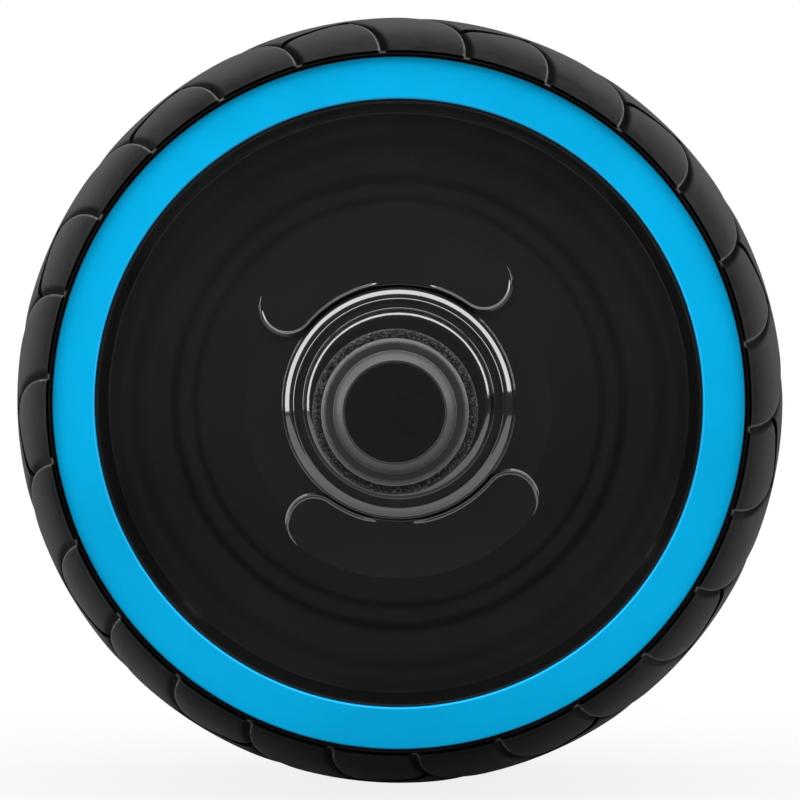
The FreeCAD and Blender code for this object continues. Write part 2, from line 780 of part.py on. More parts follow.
SIDE_PIECES = {
    "side_cover": make_side_cover,
    "trim_ring": make_trim_ring,
    "cover_screws": make_cover_screws,
    "bush": make_bush,
    "thrust_washer": make_thrust_washer,
    "stop_collar": make_stop_collar,
    "collar_screw": make_collar_screw,
    "grip": make_grip,
    "end_plug": make_end_plug,
    "plug_disc": make_plug_disc,
}

pieces = [make_handle_bar(), make_drum(), make_tyre()]
for side, placement in SIDES.items():
    for kind, make in SIDE_PIECES.items():
        pieces.append(make(f"{side}_{kind}", placement))
doc.recompute()

failed = [item.Label for item in doc.Objects if {"Invalid", "Error"} & set(item.State)]
failed += [piece.Label for piece in pieces if piece.Shape.isNull() or not piece.Shape.isValid()]
if failed:
    raise RuntimeError(f"failed objects: {failed}")

os.makedirs("parts", exist_ok=True)
for piece in pieces:
    piece.Shape.exportStep(f"parts/{piece.Label}.step")
    box = piece.Shape.BoundBox
    print(f"{piece.Label}: {len(piece.Shape.Solids)} solids, {piece.Shape.Volume:.0f} mm3,", end=" ")
    print(f"{box.XLength:.1f} x {box.YLength:.1f} x {box.ZLength:.1f}")
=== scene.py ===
import math

import bmesh
import bpy
from bpy.props import FloatProperty, FloatVectorProperty, IntProperty, PointerProperty
from mathutils import Matrix, Vector, noise


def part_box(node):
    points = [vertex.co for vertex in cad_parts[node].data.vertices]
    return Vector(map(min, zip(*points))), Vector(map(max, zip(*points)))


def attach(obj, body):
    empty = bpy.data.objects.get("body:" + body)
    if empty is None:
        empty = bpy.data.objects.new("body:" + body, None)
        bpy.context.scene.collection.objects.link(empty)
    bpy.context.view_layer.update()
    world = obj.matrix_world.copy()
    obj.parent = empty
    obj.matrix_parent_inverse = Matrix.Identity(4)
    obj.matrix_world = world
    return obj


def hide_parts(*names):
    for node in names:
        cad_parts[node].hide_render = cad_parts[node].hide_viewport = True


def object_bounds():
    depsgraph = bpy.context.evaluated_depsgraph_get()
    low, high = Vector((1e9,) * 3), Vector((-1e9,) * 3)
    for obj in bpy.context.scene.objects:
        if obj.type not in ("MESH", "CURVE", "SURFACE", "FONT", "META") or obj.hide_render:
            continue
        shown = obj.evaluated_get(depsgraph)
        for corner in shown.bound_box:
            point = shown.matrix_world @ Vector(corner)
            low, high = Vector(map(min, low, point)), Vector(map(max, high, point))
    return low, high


bl_info = {
    "name": "Ab wheel roller",
    "version": (1, 0, 0),
    "blender": (4, 5, 0),
    "location": "View3D > Sidebar > Roller",
    "description": "Dresses the solids of an ab wheel roller and lights them in a small studio",
    "category": "Object",
}

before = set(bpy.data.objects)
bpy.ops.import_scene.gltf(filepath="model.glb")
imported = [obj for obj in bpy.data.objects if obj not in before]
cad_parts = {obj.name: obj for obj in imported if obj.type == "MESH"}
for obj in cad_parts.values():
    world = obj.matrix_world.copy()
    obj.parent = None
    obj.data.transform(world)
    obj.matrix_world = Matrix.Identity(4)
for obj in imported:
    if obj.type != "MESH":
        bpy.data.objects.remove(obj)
CAD_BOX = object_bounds()
ABOUT_BAR = (0.0, -1.0, 0.0)  # turning about it is anticlockwise, seen from the right-hand side
SIDES = {"right": Matrix.Identity(4), "left": Matrix.Rotation(math.pi, 4, "Z")}
MERGE_DISTANCE = 2e-6  # corners of a mesh that lie nearer than this become one


def extent(node):
    """A right-hand solid's outer radius, and the levels along the bar between which it lies."""
    low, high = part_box(node)
    return high.x, -high.y, -low.y


def tint(red, green, blue):
    """A colour as a screen shows it, from 0 to 255, as the linear values that shaders take."""
    shares = (value / 255 for value in (red, green, blue))
    return tuple(v / 12.92 if v <= 0.04045 else ((v + 0.055) / 1.055) ** 2.4 for v in shares)


RING_RADIUS, _, RING_FACE = extent("right_trim_ring")
COVER_RADIUS, _, BOSS_TOP = extent("right_side_cover")
COLLAR_RADIUS, COLLAR_BACK, COLLAR_FACE = extent("right_stop_collar")
COLLAR_MIDDLE = (COLLAR_BACK + COLLAR_FACE) / 2
GRIP_RADIUS, _, PLUG_SEAT = extent("right_grip")
PLUG_RADIUS, PLUG_START, PLUG_TIP = extent("right_end_plug")
DISC_RADIUS, DISC_BACK, _ = extent("right_plug_disc")
_, TYRE_END, TYRE_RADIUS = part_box("tyre")[1]
FLOOR_LEVEL = CAD_BOX[0].z


def length(label, meaning, default):
    return FloatProperty(
        name=label, description=meaning, default=default, min=0.0, precision=5,
        subtype="DISTANCE", unit="LENGTH",
    )


def lengths(label, meaning, *values):
    return FloatVectorProperty(
        name=label, description=meaning, default=values, size=len(values), precision=5,
        unit="LENGTH",
    )


def angle(label, meaning, degrees):
    return FloatProperty(
        name=label, description=meaning, default=math.radians(degrees), subtype="ANGLE",
        unit="ROTATION",
    )


def colour(label, meaning, red, green, blue):
    return FloatVectorProperty(
        name=label, description=meaning, default=tint(red, green, blue), min=0.0, max=1.0, size=3,
        subtype="COLOR",
    )


def power(label, meaning, default):
    return FloatProperty(name=label, description=meaning, default=default, unit="POWER")


def portion(label, meaning, default):
    return FloatProperty(name=label, description=meaning, default=default, min=0.0, max=1.0)


class TyreSettings(bpy.types.PropertyGroup):
    """Sizes and colours of the rubber tyre"""

    crown: length("Crown radius", "Wheel axis to the middle of the tread", TYRE_RADIUS)
    end: length("Half width", "Mid-plane to the tyre's end lip", TYRE_END)
    bulge: length("Bulge", "Radius of the tread's bulge in section", 0.153)
    wall: length("Thickness", "Rubber over the drum", 0.005)
    seat: length("Seat", "Mid-plane to the step that the tyre's end lip stands on", 0.0508)
    lip: length("Lip", "Thickness of the tyre's end lip", 0.0005)
    pitches: IntProperty(
        name="Pitches", description="Long grooves round the tyre", default=13, min=3,
    )
    phase: angle("Phase", "Angle of the first long groove at the tyre's end", 23.4)
    bend: length("Groove bend", "Radius of a groove's curve over the tread", 0.096)
    depth: length("Groove depth", "Depth of the tread grooves", 0.00105)
    slope: length("Groove slope", "Width of the soft slope on one side of a groove", 0.0027)
    puff: length("Puff", "How far the blocks swell between the grooves", 0.00035)
    elbow: length("Elbow", "Tyre's end to where a branch leaves a long groove", 0.026)
    short: length("Short groove", "Tyre's end to the top of a short groove", 0.039)
    rubber: colour("Rubber", "Colour of the rubber", 7, 7, 8)
    # Crown colour: dust with painted sheen, which makes the tread lighter towards its crown
    dust_and_sheen: colour("Bloom", "Dusty grey of the tread's crown", 54, 54, 54)
    # Groove edges: paler grey of wear and painted highlight
    worn: colour("Worn edges", "Paler grey of the groove edges", 92, 92, 91)


class CoverSettings(bpy.types.PropertyGroup):
    """Sizes and colours of the side covers and trim rings"""

    ring_width: length("Ring width", "Trim ring from its outer to its inner edge", 0.010)
    ring_depth: length("Ring depth", "Trim ring from front to back", 0.0027)
    ring_edge: length("Ring edge", "Rounding of the trim ring's edges", 0.0005)
    lip_gap: length("Lip gap", "Trim ring to the cover's lip", 0.0002)
    lip_sink: length("Lip sink", "Trim ring's face to the top of the cover's lip", 0.0006)
    flange: length("Flange", "Thickness of the flange under the trim ring", 0.0045)
    slope: length("Slope", "Width of the steep slope inside the trim ring", 0.0029)
    slope_drop: length("Slope drop", "Fall of that slope", 0.0045)
    slope_step: length("Slope step", "Step from the slope to the bowl", 0.0005)
    slope_blend: length("Slope blend", "Rounding between that slope and the bowl", 0.0006)
    depth: length("Dish depth", "Trim ring's face to the floor of the bowl", 0.016)
    wall: length("Wall", "Wall of the bowl", 0.0025)
    toe: length("Toe", "Flat floor round the hub boss", 0.003)
    boss: length("Boss radius", "Outside of the hub boss at its top", 0.02743)
    boss_wall: length("Boss wall", "Side wall of the hub boss", 0.00305)
    boss_draft: length("Boss draft", "How much wider the hub boss is at its foot", 0.00055)
    boss_round: length("Boss rounding", "Rounding of the hub boss's edge", 0.0016)
    boss_band: length("Boss band", "Width of the sloping band round the boss's edge", 0.00168)
    boss_band_fall: length("Band fall", "Fall of that band", 0.00118)
    boss_shoulder: length("Boss shoulder", "Width of the boss's rim with that band", 0.00298)
    boss_fall: length("Boss fall", "Fall of the rim inside the band", 0.0002)
    boss_steps: lengths("Boss steps", "Radii of two fine steps on the hub boss", 0.0248, 0.0226)
    boss_step: length("Boss step", "Height of the outer of those steps", 0.0001)
    boss_crown: length("Boss crown", "How far the boss's face rises towards its middle", 0.00007)
    boss_recess: length("Boss recess", "Depth of the hub boss's face inside its rim", 0.0004)
    boss_cap: length("Boss cap", "End wall of the hub boss", 0.0036)
    bore: length("Bore", "Hole for the bush in the hub boss", 0.01508)
    pad_gap: length("Pad gap", "Hub boss to the kidney pads", 0.0007)
    pad_width: length("Pad width", "Width of a kidney pad", 0.01425)
    pad_rise: length("Pad rise", "Height of a kidney pad over the floor", 0.00092)
    pad_edge: length("Pad edge", "Rounding of a pad's edge along the hub and its ends", 0.0006)
    pad_lip: length("Pad lip", "Height of the fine lip along that edge", 0.0004)
    pad_lip_width: length("Pad lip width", "Half the width of that lip", 0.00066)
    pad_half: angle("Pad half angle", "Middle of a pad to the centre of its round end", 42.4)
    pad_tilt: angle("Pad tilt", "Angle of the first pad's middle", 97.0)
    # Painted shade: dark rings in the bowl
    shade_rings: lengths("Ripples", "Radii of the dark rings in the bowl", 0.0489, 0.0538, 0.0632)
    shade_ring_widths: lengths("Ripple widths", "Half widths of those rings", 0.0015, 0.0019, 0.0034)
    shade_ring_strengths: FloatVectorProperty(
        name="Ripple shades", description="How dark those rings are", default=(0.8, 1.0, 0.5),
        size=3,
    )
    # Painted shade: a dark border inside the steep slope
    border: length("Border", "Width of the dark border inside the steep slope", 0.005)
    gloss: colour("Cover", "Colour of the glossy side covers", 25, 25, 24)
    blue: colour("Ring", "Colour of the trim rings", 0, 171, 227)


class HandleSettings(bpy.types.PropertyGroup):
    """Sizes and colours of the pieces on the bar"""

    bar: length("Sleeve bore", "Bore of the collars and grips", 0.01255)
    collar_edge: length("Collar edge", "Rounding of the stop collar's edge", 0.002)
    grub: length("Grub hole", "Radius of the grub screw's hole", 0.0026)
    grub_screw: length("Grub screw", "Radius of the grub screw", 0.0025)
    grub_sink: length("Grub sink", "Collar's outside to the top of the grub screw", 0.0009)
    socket: length("Socket", "Corner radius of the grub screw's hexagon", 0.00145)
    socket_depth: length("Socket depth", "Depth of the grub screw's hexagon", 0.0025)
    grip_edge: length("Grip edge", "Rounding of the foam's edges", 0.0012)
    foam_swell: length("Foam unevenness", "How far the foam's skin rises and falls", 0.00012)
    flange: length("Plug flange", "Thickness of the end plug's flange", 0.0032)
    flange_edge: length("Flange edge", "Rounding of the end plug's flange", 0.0012)
    step: length("Plug step", "Radius at the foot of the end plug's raised middle", 0.0128)
    step_rise: length("Step rise", "Upright step at that foot", 0.0006)
    rim: length("Plug rim", "Radius of the rim round the inlaid disc", 0.01095)
    stem: length("Plug stem", "Radius of the end plug's stem", 0.00965)
    barb: length("Barb", "Height of the barbs on the stem", 0.0013)
    foam: colour("Foam", "Colour of the foam grips", 25, 25, 27)
    plastic: colour("Plug", "Colour of the end plugs", 42, 42, 45)
    disc: colour("Disc", "Colour of the inlaid discs", 18, 18, 20)


class StudioSettings(bpy.types.PropertyGroup):
    """Camera, lamps and stage"""

    distance: length("Camera distance", "Camera to the middle of the wheel along the bar", 1.18)
    aside: length("Camera aside", "Camera to the right of the bar", 0.0066)
    above: length("Camera above", "Camera above the bar", 0.0158)
    lens: FloatProperty(
        name="Lens", description="Focal length on a 36 mm sensor", default=212.8, unit="CAMERA",
    )
    key: power("Key light", "Power of the overhead soft box", 24.8)
    left: power("Left light", "Power of the soft box on the left", 13.4)
    right: power("Right light", "Power of the soft box on the right", 11.3)
    back: portion("Back lights", "Share of that power in the soft boxes behind", 0.55)
    room: portion("Room light", "Brightness of the room", 0.06)
    mirrored: portion(
        "Mirrored white", "Share of the white past the floor that glossy parts mirror", 0.02,
    )


def ease(low, high, value):
    """0 below low, 1 above high, and a smooth rise between them."""
    share = min(max((value - low) / (high - low), 0.0), 1.0)
    return share * share * (3 - 2 * share)


def between(start, end, share):
    return start + (end - start) * share


def swell(aside, half):
    """Share of a round lip's height at a distance from its middle."""
    return 0.5 + 0.5 * math.cos(math.pi * min(abs(aside) / half, 1.0))


def of_kind(kind, parts):
    return [part for part in parts if isinstance(part, kind)]


class Outline:
    """A chain of edges in the half plane through the bar, which a piece is turned from."""

    WORN_ROUNDING = 0.003  # an edge with a smaller rounding than this is painted paler: wear and painted highlight

    def __init__(self):
        self.mesh = bmesh.new()
        layers = self.mesh.verts.layers
        for name in ("edge", "painted_shade"):
            layers.float.new(name)
        layers.int.new("station")
        self.edge, self.painted_shade = layers.float["edge"], layers.float["painted_shade"]
        self.first = self.last = None
        self.corners = []

    def to(self, *corners):
        """Carries the chain to corners, each a radius, a level and, if it is round, a rounding."""
        for radius, level, *rounding in corners:
            corner = self.mesh.verts.new((radius, -level, 0.0))
            if self.last:
                self.mesh.edges.new((self.last, corner))
            self.first = self.first or corner
            self.last = corner
            if rounding:
                self.corners.append((corner, *rounding))
        return self

    def arc(self, radius, level, turn, steps):
        """Carries the chain round a centre at (radius, level)."""
        made = bmesh.ops.spin(
            self.mesh, geom=[self.last], cent=(radius, -level, 0), axis=(0, 0, 1), angle=turn,
            steps=steps,
        )
        self.last = of_kind(bmesh.types.BMVert, made["geom_last"])[0]
        return self

    def paint_shade(self, rings, outer, border):
        """Marks rings of painted shade, as (radius, half width, shade), and a painted dark border
        inside the rim.
        """
        for vert in self.mesh.verts:
            here = vert.co.x
            shades = [
                shade * ease(0.0, 1.0, 1 - abs(here - radius) / width)
                for radius, width, shade in rings
            ]
            vert[self.painted_shade] = max(*shades, ease(outer - border, outer, here))

    def close(self):
        self.mesh.edges.new((self.last, self.first))
        return self

    def turned(self, columns, segments=5):
        """Rounds the corners, turns the chain once round the bar and closes it."""
        for corner, rounding in self.corners:
            one, two = (edge.other_vert(corner).co - corner.co for edge in corner.link_edges)
            setback = rounding / math.tan(one.angle(two) / 2)
            made = bmesh.ops.bevel(
                self.mesh, geom=[corner], offset=setback, offset_type="OFFSET", segments=segments,
                profile=0.5, affect="VERTICES", material=-1, clamp_overlap=False,
            )
            new = set(made["verts"])
            for vert in new:
                inside = all(edge.other_vert(vert) in new for edge in vert.link_edges)
                vert[self.edge] = float(inside and rounding < self.WORN_ROUNDING)
        bmesh.ops.spin(
            self.mesh, geom=self.mesh.verts[:] + self.mesh.edges[:], cent=(0, 0, 0),
            axis=ABOUT_BAR, angle=2 * math.pi, steps=columns, use_merge=True,
        )
        close_up(self.mesh)
        return self.mesh


def close_up(mesh):
    bmesh.ops.remove_doubles(mesh, verts=mesh.verts[:], dist=MERGE_DISTANCE)
    bmesh.ops.recalc_face_normals(mesh, faces=mesh.faces[:])


def keep(mesh, name, material, body, node, place=None, sharp=42, even=True):
    """Makes a piece from a bmesh, in its place, riding on a body instead of a solid. Faces that
    meet at more than the sharp angle keep their edge. Even shading keeps flat faces flat beside
    rounded edges."""
    if place:
        bmesh.ops.transform(mesh, matrix=place, verts=mesh.verts[:])
    data = bpy.data.meshes.new(name)
    mesh.to_mesh(data)
    mesh.free()
    data.shade_smooth()
    data.set_sharp_from_angle(angle=math.radians(sharp))
    data.materials.append(material)
    piece = bpy.data.objects.new(name, data)
    bpy.context.scene.collection.objects.link(piece)
    if even:
        piece.modifiers.new("even_shading", "WEIGHTED_NORMAL").keep_sharp = True
    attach(piece, body)
    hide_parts(node)
    return piece


def keep_pair(make, label, material, body, node, even=True):
    """Makes a right-hand and a left-hand piece, each from a new mesh."""
    return [
        keep(make(), f"{side}_{label}", material, body, f"{side}_{node}", place, even=even)
        for side, place in SIDES.items()
    ]


class Graph:
    """A node tree with short ways to add nodes and join them."""

    NODE_SPACING = 220

    def __init__(self, tree):
        self.tree = tree

    def add(self, kind, inputs=None, **settings):
        node = self.tree.nodes.new(f"ShaderNode{kind}")
        node.location = (self.NODE_SPACING * len(self.tree.nodes), 0)
        for name, value in settings.items():
            setattr(node, name, value)
        for name, value in (inputs or {}).items():
            self.feed(node.inputs[name], value)
        return node

    def feed(self, socket, value):
        if isinstance(value, bpy.types.NodeSocket):
            self.tree.links.new(value, socket)
        else:
            socket.default_value = value

    def reckon(self, operation, first, second):
        return self.add("Math", {0: first, 1: second}, operation=operation).outputs[0]

    def plus(self, first, second):
        return self.reckon("ADD", first, second)

    def times(self, first, second):
        return self.reckon("MULTIPLY", first, second)

    def most(self, first, second):
        return self.reckon("MAXIMUM", first, second)

    def span(self, value, low, high, to_low=0.0, to_high=1.0):
        """A value between low and high, stretched to lie between two others."""
        ends = {"From Min": low, "From Max": high, "To Min": to_low, "To Max": to_high}
        return self.add("MapRange", {"Value": value, **ends}, clamp=True).outputs["Result"]

    def blend(self, share, first, second):
        """From the first colour to the second. The Mix node's colours are its inputs 6 and 7."""
        return self.add("Mix", {0: share, 6: first, 7: second}, data_type="RGBA").outputs[2]

    def noise(self, place, scale, detail, roughness=0.5):
        values = {"Vector": place, "Scale": scale, "Detail": detail, "Roughness": roughness}
        return self.add("TexNoise", values).outputs[0]

    def cells(self, place, scale):
        return self.add("TexVoronoi", {"Vector": place, "Scale": scale}, feature="F1").outputs

    def looks(self):
        """Whether a ray looks straight at a thing, and whether it comes off a glossy part."""
        path = self.add("LightPath").outputs
        return self.most(path["Is Camera Ray"], path["Is Transmission Ray"]), path["Is Glossy Ray"]


def new_effect(name, *outputs):
    """An empty shader group: its graph, its place and its scale, and its outputs."""
    tree = bpy.data.node_groups.new(name, "ShaderNodeTree")
    sockets = [("Vector", "INPUT", "Vector"), ("Scale", "INPUT", "Float")]
    sockets += [(label, "OUTPUT", "Float") for label in outputs]
    for label, way, kind in sockets:
        tree.interface.new_socket(name=label, in_out=way, socket_type=f"NodeSocket{kind}")
    given = tree.nodes.new("NodeGroupInput").outputs
    result = tree.nodes.new("NodeGroupOutput").inputs
    return Graph(tree), given["Vector"], given["Scale"], result


def mottle(name):
    """Cloudy unevenness at two sizes, as on moulded plastic and rubber."""
    graph, place, scale, result = new_effect(name, "Cloud", "Speckle")
    wide = graph.noise(place, scale, detail=4.0, roughness=0.6)
    small = graph.noise(place, graph.times(scale, 9.0), detail=3.0, roughness=0.7)
    graph.feed(result["Cloud"], graph.span(wide, 0.32, 0.68))
    graph.feed(result["Speckle"], graph.span(small, 0.35, 0.65))
    return graph.tree


def grain(name):
    """Fine moulded grain, as a height."""
    graph, place, scale, result = new_effect(name, "Height")
    cells = graph.cells(place, scale)
    fine = graph.noise(place, scale, detail=2.0)
    graph.feed(result["Height"], graph.plus(cells["Distance"], fine))
    return graph.tree


def scuffs(name):
    """Thin scratches that cross in two directions, broken up so that few of them are long."""
    graph, place, scale, result = new_effect(name, "Mask")
    found = []
    for turn, seed in ((0.6, 3.0), (-0.9, 11.0)):
        stretched = graph.add("Mapping", {
            "Vector": place, "Location": (seed, seed, seed), "Rotation": (0.0, turn, 0.0),
            "Scale": (1.0, 1.0, 26.0),
        })
        lines = graph.noise(stretched.outputs[0], scale, detail=2.0)
        found.append(graph.span(lines, 0.66, 0.72))
    patches = graph.span(graph.noise(place, 38.0, detail=3.0), 0.48, 0.66)
    graph.feed(result["Mask"], graph.times(graph.most(*found), patches))
    return graph.tree


def pores(name):
    """Foam cells of mixed sizes: a height, and a shade of its own for each cell."""
    graph, place, scale, result = new_effect(name, "Height", "Shade")
    cells = graph.cells(place, scale)
    coarse = graph.cells(place, graph.times(scale, 0.45))
    both = graph.plus(cells["Distance"], coarse["Distance"])
    graph.feed(result["Height"], graph.span(both, 0.2, 1.3))
    shade = graph.add("SeparateColor", {"Color": cells["Color"]}).outputs["Red"]
    graph.feed(result["Shade"], graph.reckon("POWER", shade, 3.0))
    return graph.tree


def paint(rgb, share=1.0, lift=0.0):
    """A colour for a shader, darkened or lightened to a share of itself and lifted."""
    return (*(min(1.0, value * share + lift) for value in rgb), 1.0)


class Finish(Graph):
    """The graph of a material that is made from the place on the object."""

    def __init__(self, name):
        self.material = bpy.data.materials.new(name)
        self.material.use_nodes = True
        super().__init__(self.material.node_tree)
        self.shader = self.tree.nodes["Principled BSDF"].inputs
        self.place = self.add("TexCoord").outputs["Object"]

    def mark(self, name):
        """A value that the mesh keeps at its corners, such as the wear along its edges."""
        return self.add("Attribute", attribute_name=name).outputs["Fac"]

    def effect(self, make, scale):
        """The outputs of a shared effect, which is made the first time it is asked for."""
        name = make.__name__
        tree = bpy.data.node_groups.get(name) or make(name)
        return self.add("Group", {"Vector": self.place, "Scale": scale}, node_tree=tree).outputs

    def bump(self, height, depth, strength):
        values = {"Strength": strength, "Distance": depth, "Height": height}
        self.feed(self.shader["Normal"], self.add("Bump", values).outputs[0])

    def done(self, inputs):
        for name, value in inputs.items():
            self.feed(self.shader[name], value)
        return self.material


def rubber_material(s):
    """Charcoal rubber: dust and painted sheen on the crown, painted shade in the grooves, and
    groove edges paled by wear and painted highlight.
    """
    graph = Finish("tyre_rubber")
    cloud, speckle = graph.effect(mottle, scale=45.0)
    groove = graph.mark("groove")
    # Dust with painted sheen: pale blotches on the blocks and a lighter crown, none in the grooves
    blotchy_dust_and_sheen = graph.plus(graph.times(cloud, 0.3), graph.times(speckle, 0.1))
    dust_and_sheen = graph.plus(graph.times(graph.mark("crown"), 0.7), blotchy_dust_and_sheen)
    open_skin = graph.times(dust_and_sheen, graph.span(groove, 0.05, 0.5, 1.0, 0.0))
    skin = graph.blend(open_skin, paint(s.rubber), paint(s.dust_and_sheen))
    # Painted shade: the grooves darken to a tenth of the rubber's colour
    skin = graph.blend(graph.span(groove, 0.12, 0.7), skin, paint(s.rubber, 0.1))
    # Groove edges paler: wear and painted highlight
    worn_and_highlit = graph.times(graph.mark("edge"), graph.span(speckle, 0.0, 1.0, 0.35, 0.9))
    graph.bump(graph.effect(grain, scale=2600.0)["Height"], depth=0.00004, strength=0.6)
    return graph.done({
        "Base Color": graph.blend(worn_and_highlit, skin, paint(s.worn)),
        "Roughness": graph.span(cloud, 0.0, 1.0, 0.42, 0.58),
        "Specular IOR Level": 0.006,
    })


def gloss_material(s):
    """Glossy black moulding: deep colour, hair scratches, a slow waviness in its shine, and painted
    shade in rings and inside the rim.
    """
    graph = Finish("gloss_cover")
    cloud = graph.effect(mottle, scale=30.0)["Cloud"]
    worn = graph.times(graph.effect(scuffs, scale=60.0)["Mask"], 0.03)
    painted_shade = graph.mark("painted_shade")
    body = graph.blend(cloud, paint(s.gloss), paint(s.gloss, 1.25))
    # Edges lighter: wear and painted highlight
    body = graph.blend(graph.times(graph.mark("edge"), 0.3), body, paint(s.gloss, 2.0))
    shine = graph.plus(graph.span(cloud, 0.0, 1.0, 0.07, 0.12), worn)
    graph.bump(cloud, depth=0.00003, strength=0.25)
    return graph.done({
        # Painted shade: the rings and the border darken to a third of the cover's colour
        "Base Color": graph.blend(painted_shade, body, paint(s.gloss, 0.3)),
        "Roughness": graph.plus(shine, graph.times(painted_shade, 0.1)),
        "IOR": 1.55,
        "Specular IOR Level": 0.85,
        "Coat Weight": graph.span(painted_shade, 0.0, 1.0, 1.0, 0.05),
        "Coat Roughness": 0.04,
    })


def ring_material(s):
    """Satin blue: a fine grain, faint clouds and edges made lighter by wear and painted highlight.
    """
    graph = Finish("blue_ring")
    cloud, speckle = graph.effect(mottle, scale=28.0)
    body = graph.blend(cloud, paint(s.blue, 0.9), paint(s.blue))
    # Edges lighter: wear and painted highlight
    worn = graph.times(graph.mark("edge"), 0.6)
    graph.bump(graph.effect(grain, scale=3200.0)["Height"], depth=0.00002, strength=0.4)
    return graph.done({
        "Base Color": graph.blend(worn, body, paint(s.blue, 1.15, lift=0.04)),
        "Roughness": graph.span(speckle, 0.0, 1.0, 0.45, 0.56),
        "Specular IOR Level": 0.06,
    })


def moulded_material(name, rgb, roughness, grain_scale, edges=1.5, shine=0.5, coat=0.0):
    """Moulded plastic: fine grain, faint clouds, hair scratches, and edges made lighter by wear and
    painted highlight.
    """
    graph = Finish(name)
    cloud, speckle = graph.effect(mottle, scale=90.0)
    worn = graph.times(graph.effect(scuffs, scale=90.0)["Mask"], 0.12)
    body = graph.blend(cloud, paint(rgb, 0.8), paint(rgb, 1.15))
    worn_and_highlit = graph.times(graph.mark("edge"), graph.span(speckle, 0.2, 1.0, 0.2, 0.8))
    graph.bump(graph.effect(grain, grain_scale)["Height"], depth=0.00003, strength=0.35)
    return graph.done({
        "Base Color": graph.blend(worn_and_highlit, body, paint(rgb, edges)),
        "Roughness": graph.plus(graph.span(speckle, 0.0, 1.0, *roughness), worn),
        "Specular IOR Level": shine,
        "Coat Weight": coat,
    })


def foam_material(s):
    """Charcoal foam: a fine speckle of pale and dark cells under faint clouds."""
    graph = Finish("grip_foam")
    height, shade = graph.effect(pores, scale=3000.0)
    cloud = graph.effect(mottle, scale=60.0)["Cloud"]
    pits = graph.blend(cloud, paint(s.foam, 0.35), paint(s.foam, 0.6))
    graph.bump(height, depth=0.0003, strength=0.6)
    return graph.done({
        "Base Color": graph.blend(shade, pits, paint(s.foam, 8.0)),
        "Roughness": graph.span(height, 0.0, 1.0, 0.95, 0.75),
        "Specular IOR Level": 0.2,
    })


def metal_material(name, rgb, roughness):
    """Turned or drawn metal: fine streaks round the bar and hair scratches."""
    graph = Finish(name)
    streaks = graph.add("Mapping", {"Vector": graph.place, "Scale": (12.0, 900.0, 12.0)})
    drawn = graph.noise(streaks.outputs[0], 1.0, detail=4.0)
    worn = graph.times(graph.effect(scuffs, scale=70.0)["Mask"], 0.15)
    graph.bump(drawn, depth=0.00001, strength=0.3)
    return graph.done({
        "Base Color": graph.blend(drawn, paint(rgb, 0.85), paint(rgb)),
        "Roughness": graph.plus(graph.span(drawn, 0.3, 0.7, *roughness), worn),
        "Metallic": 1.0,
    })


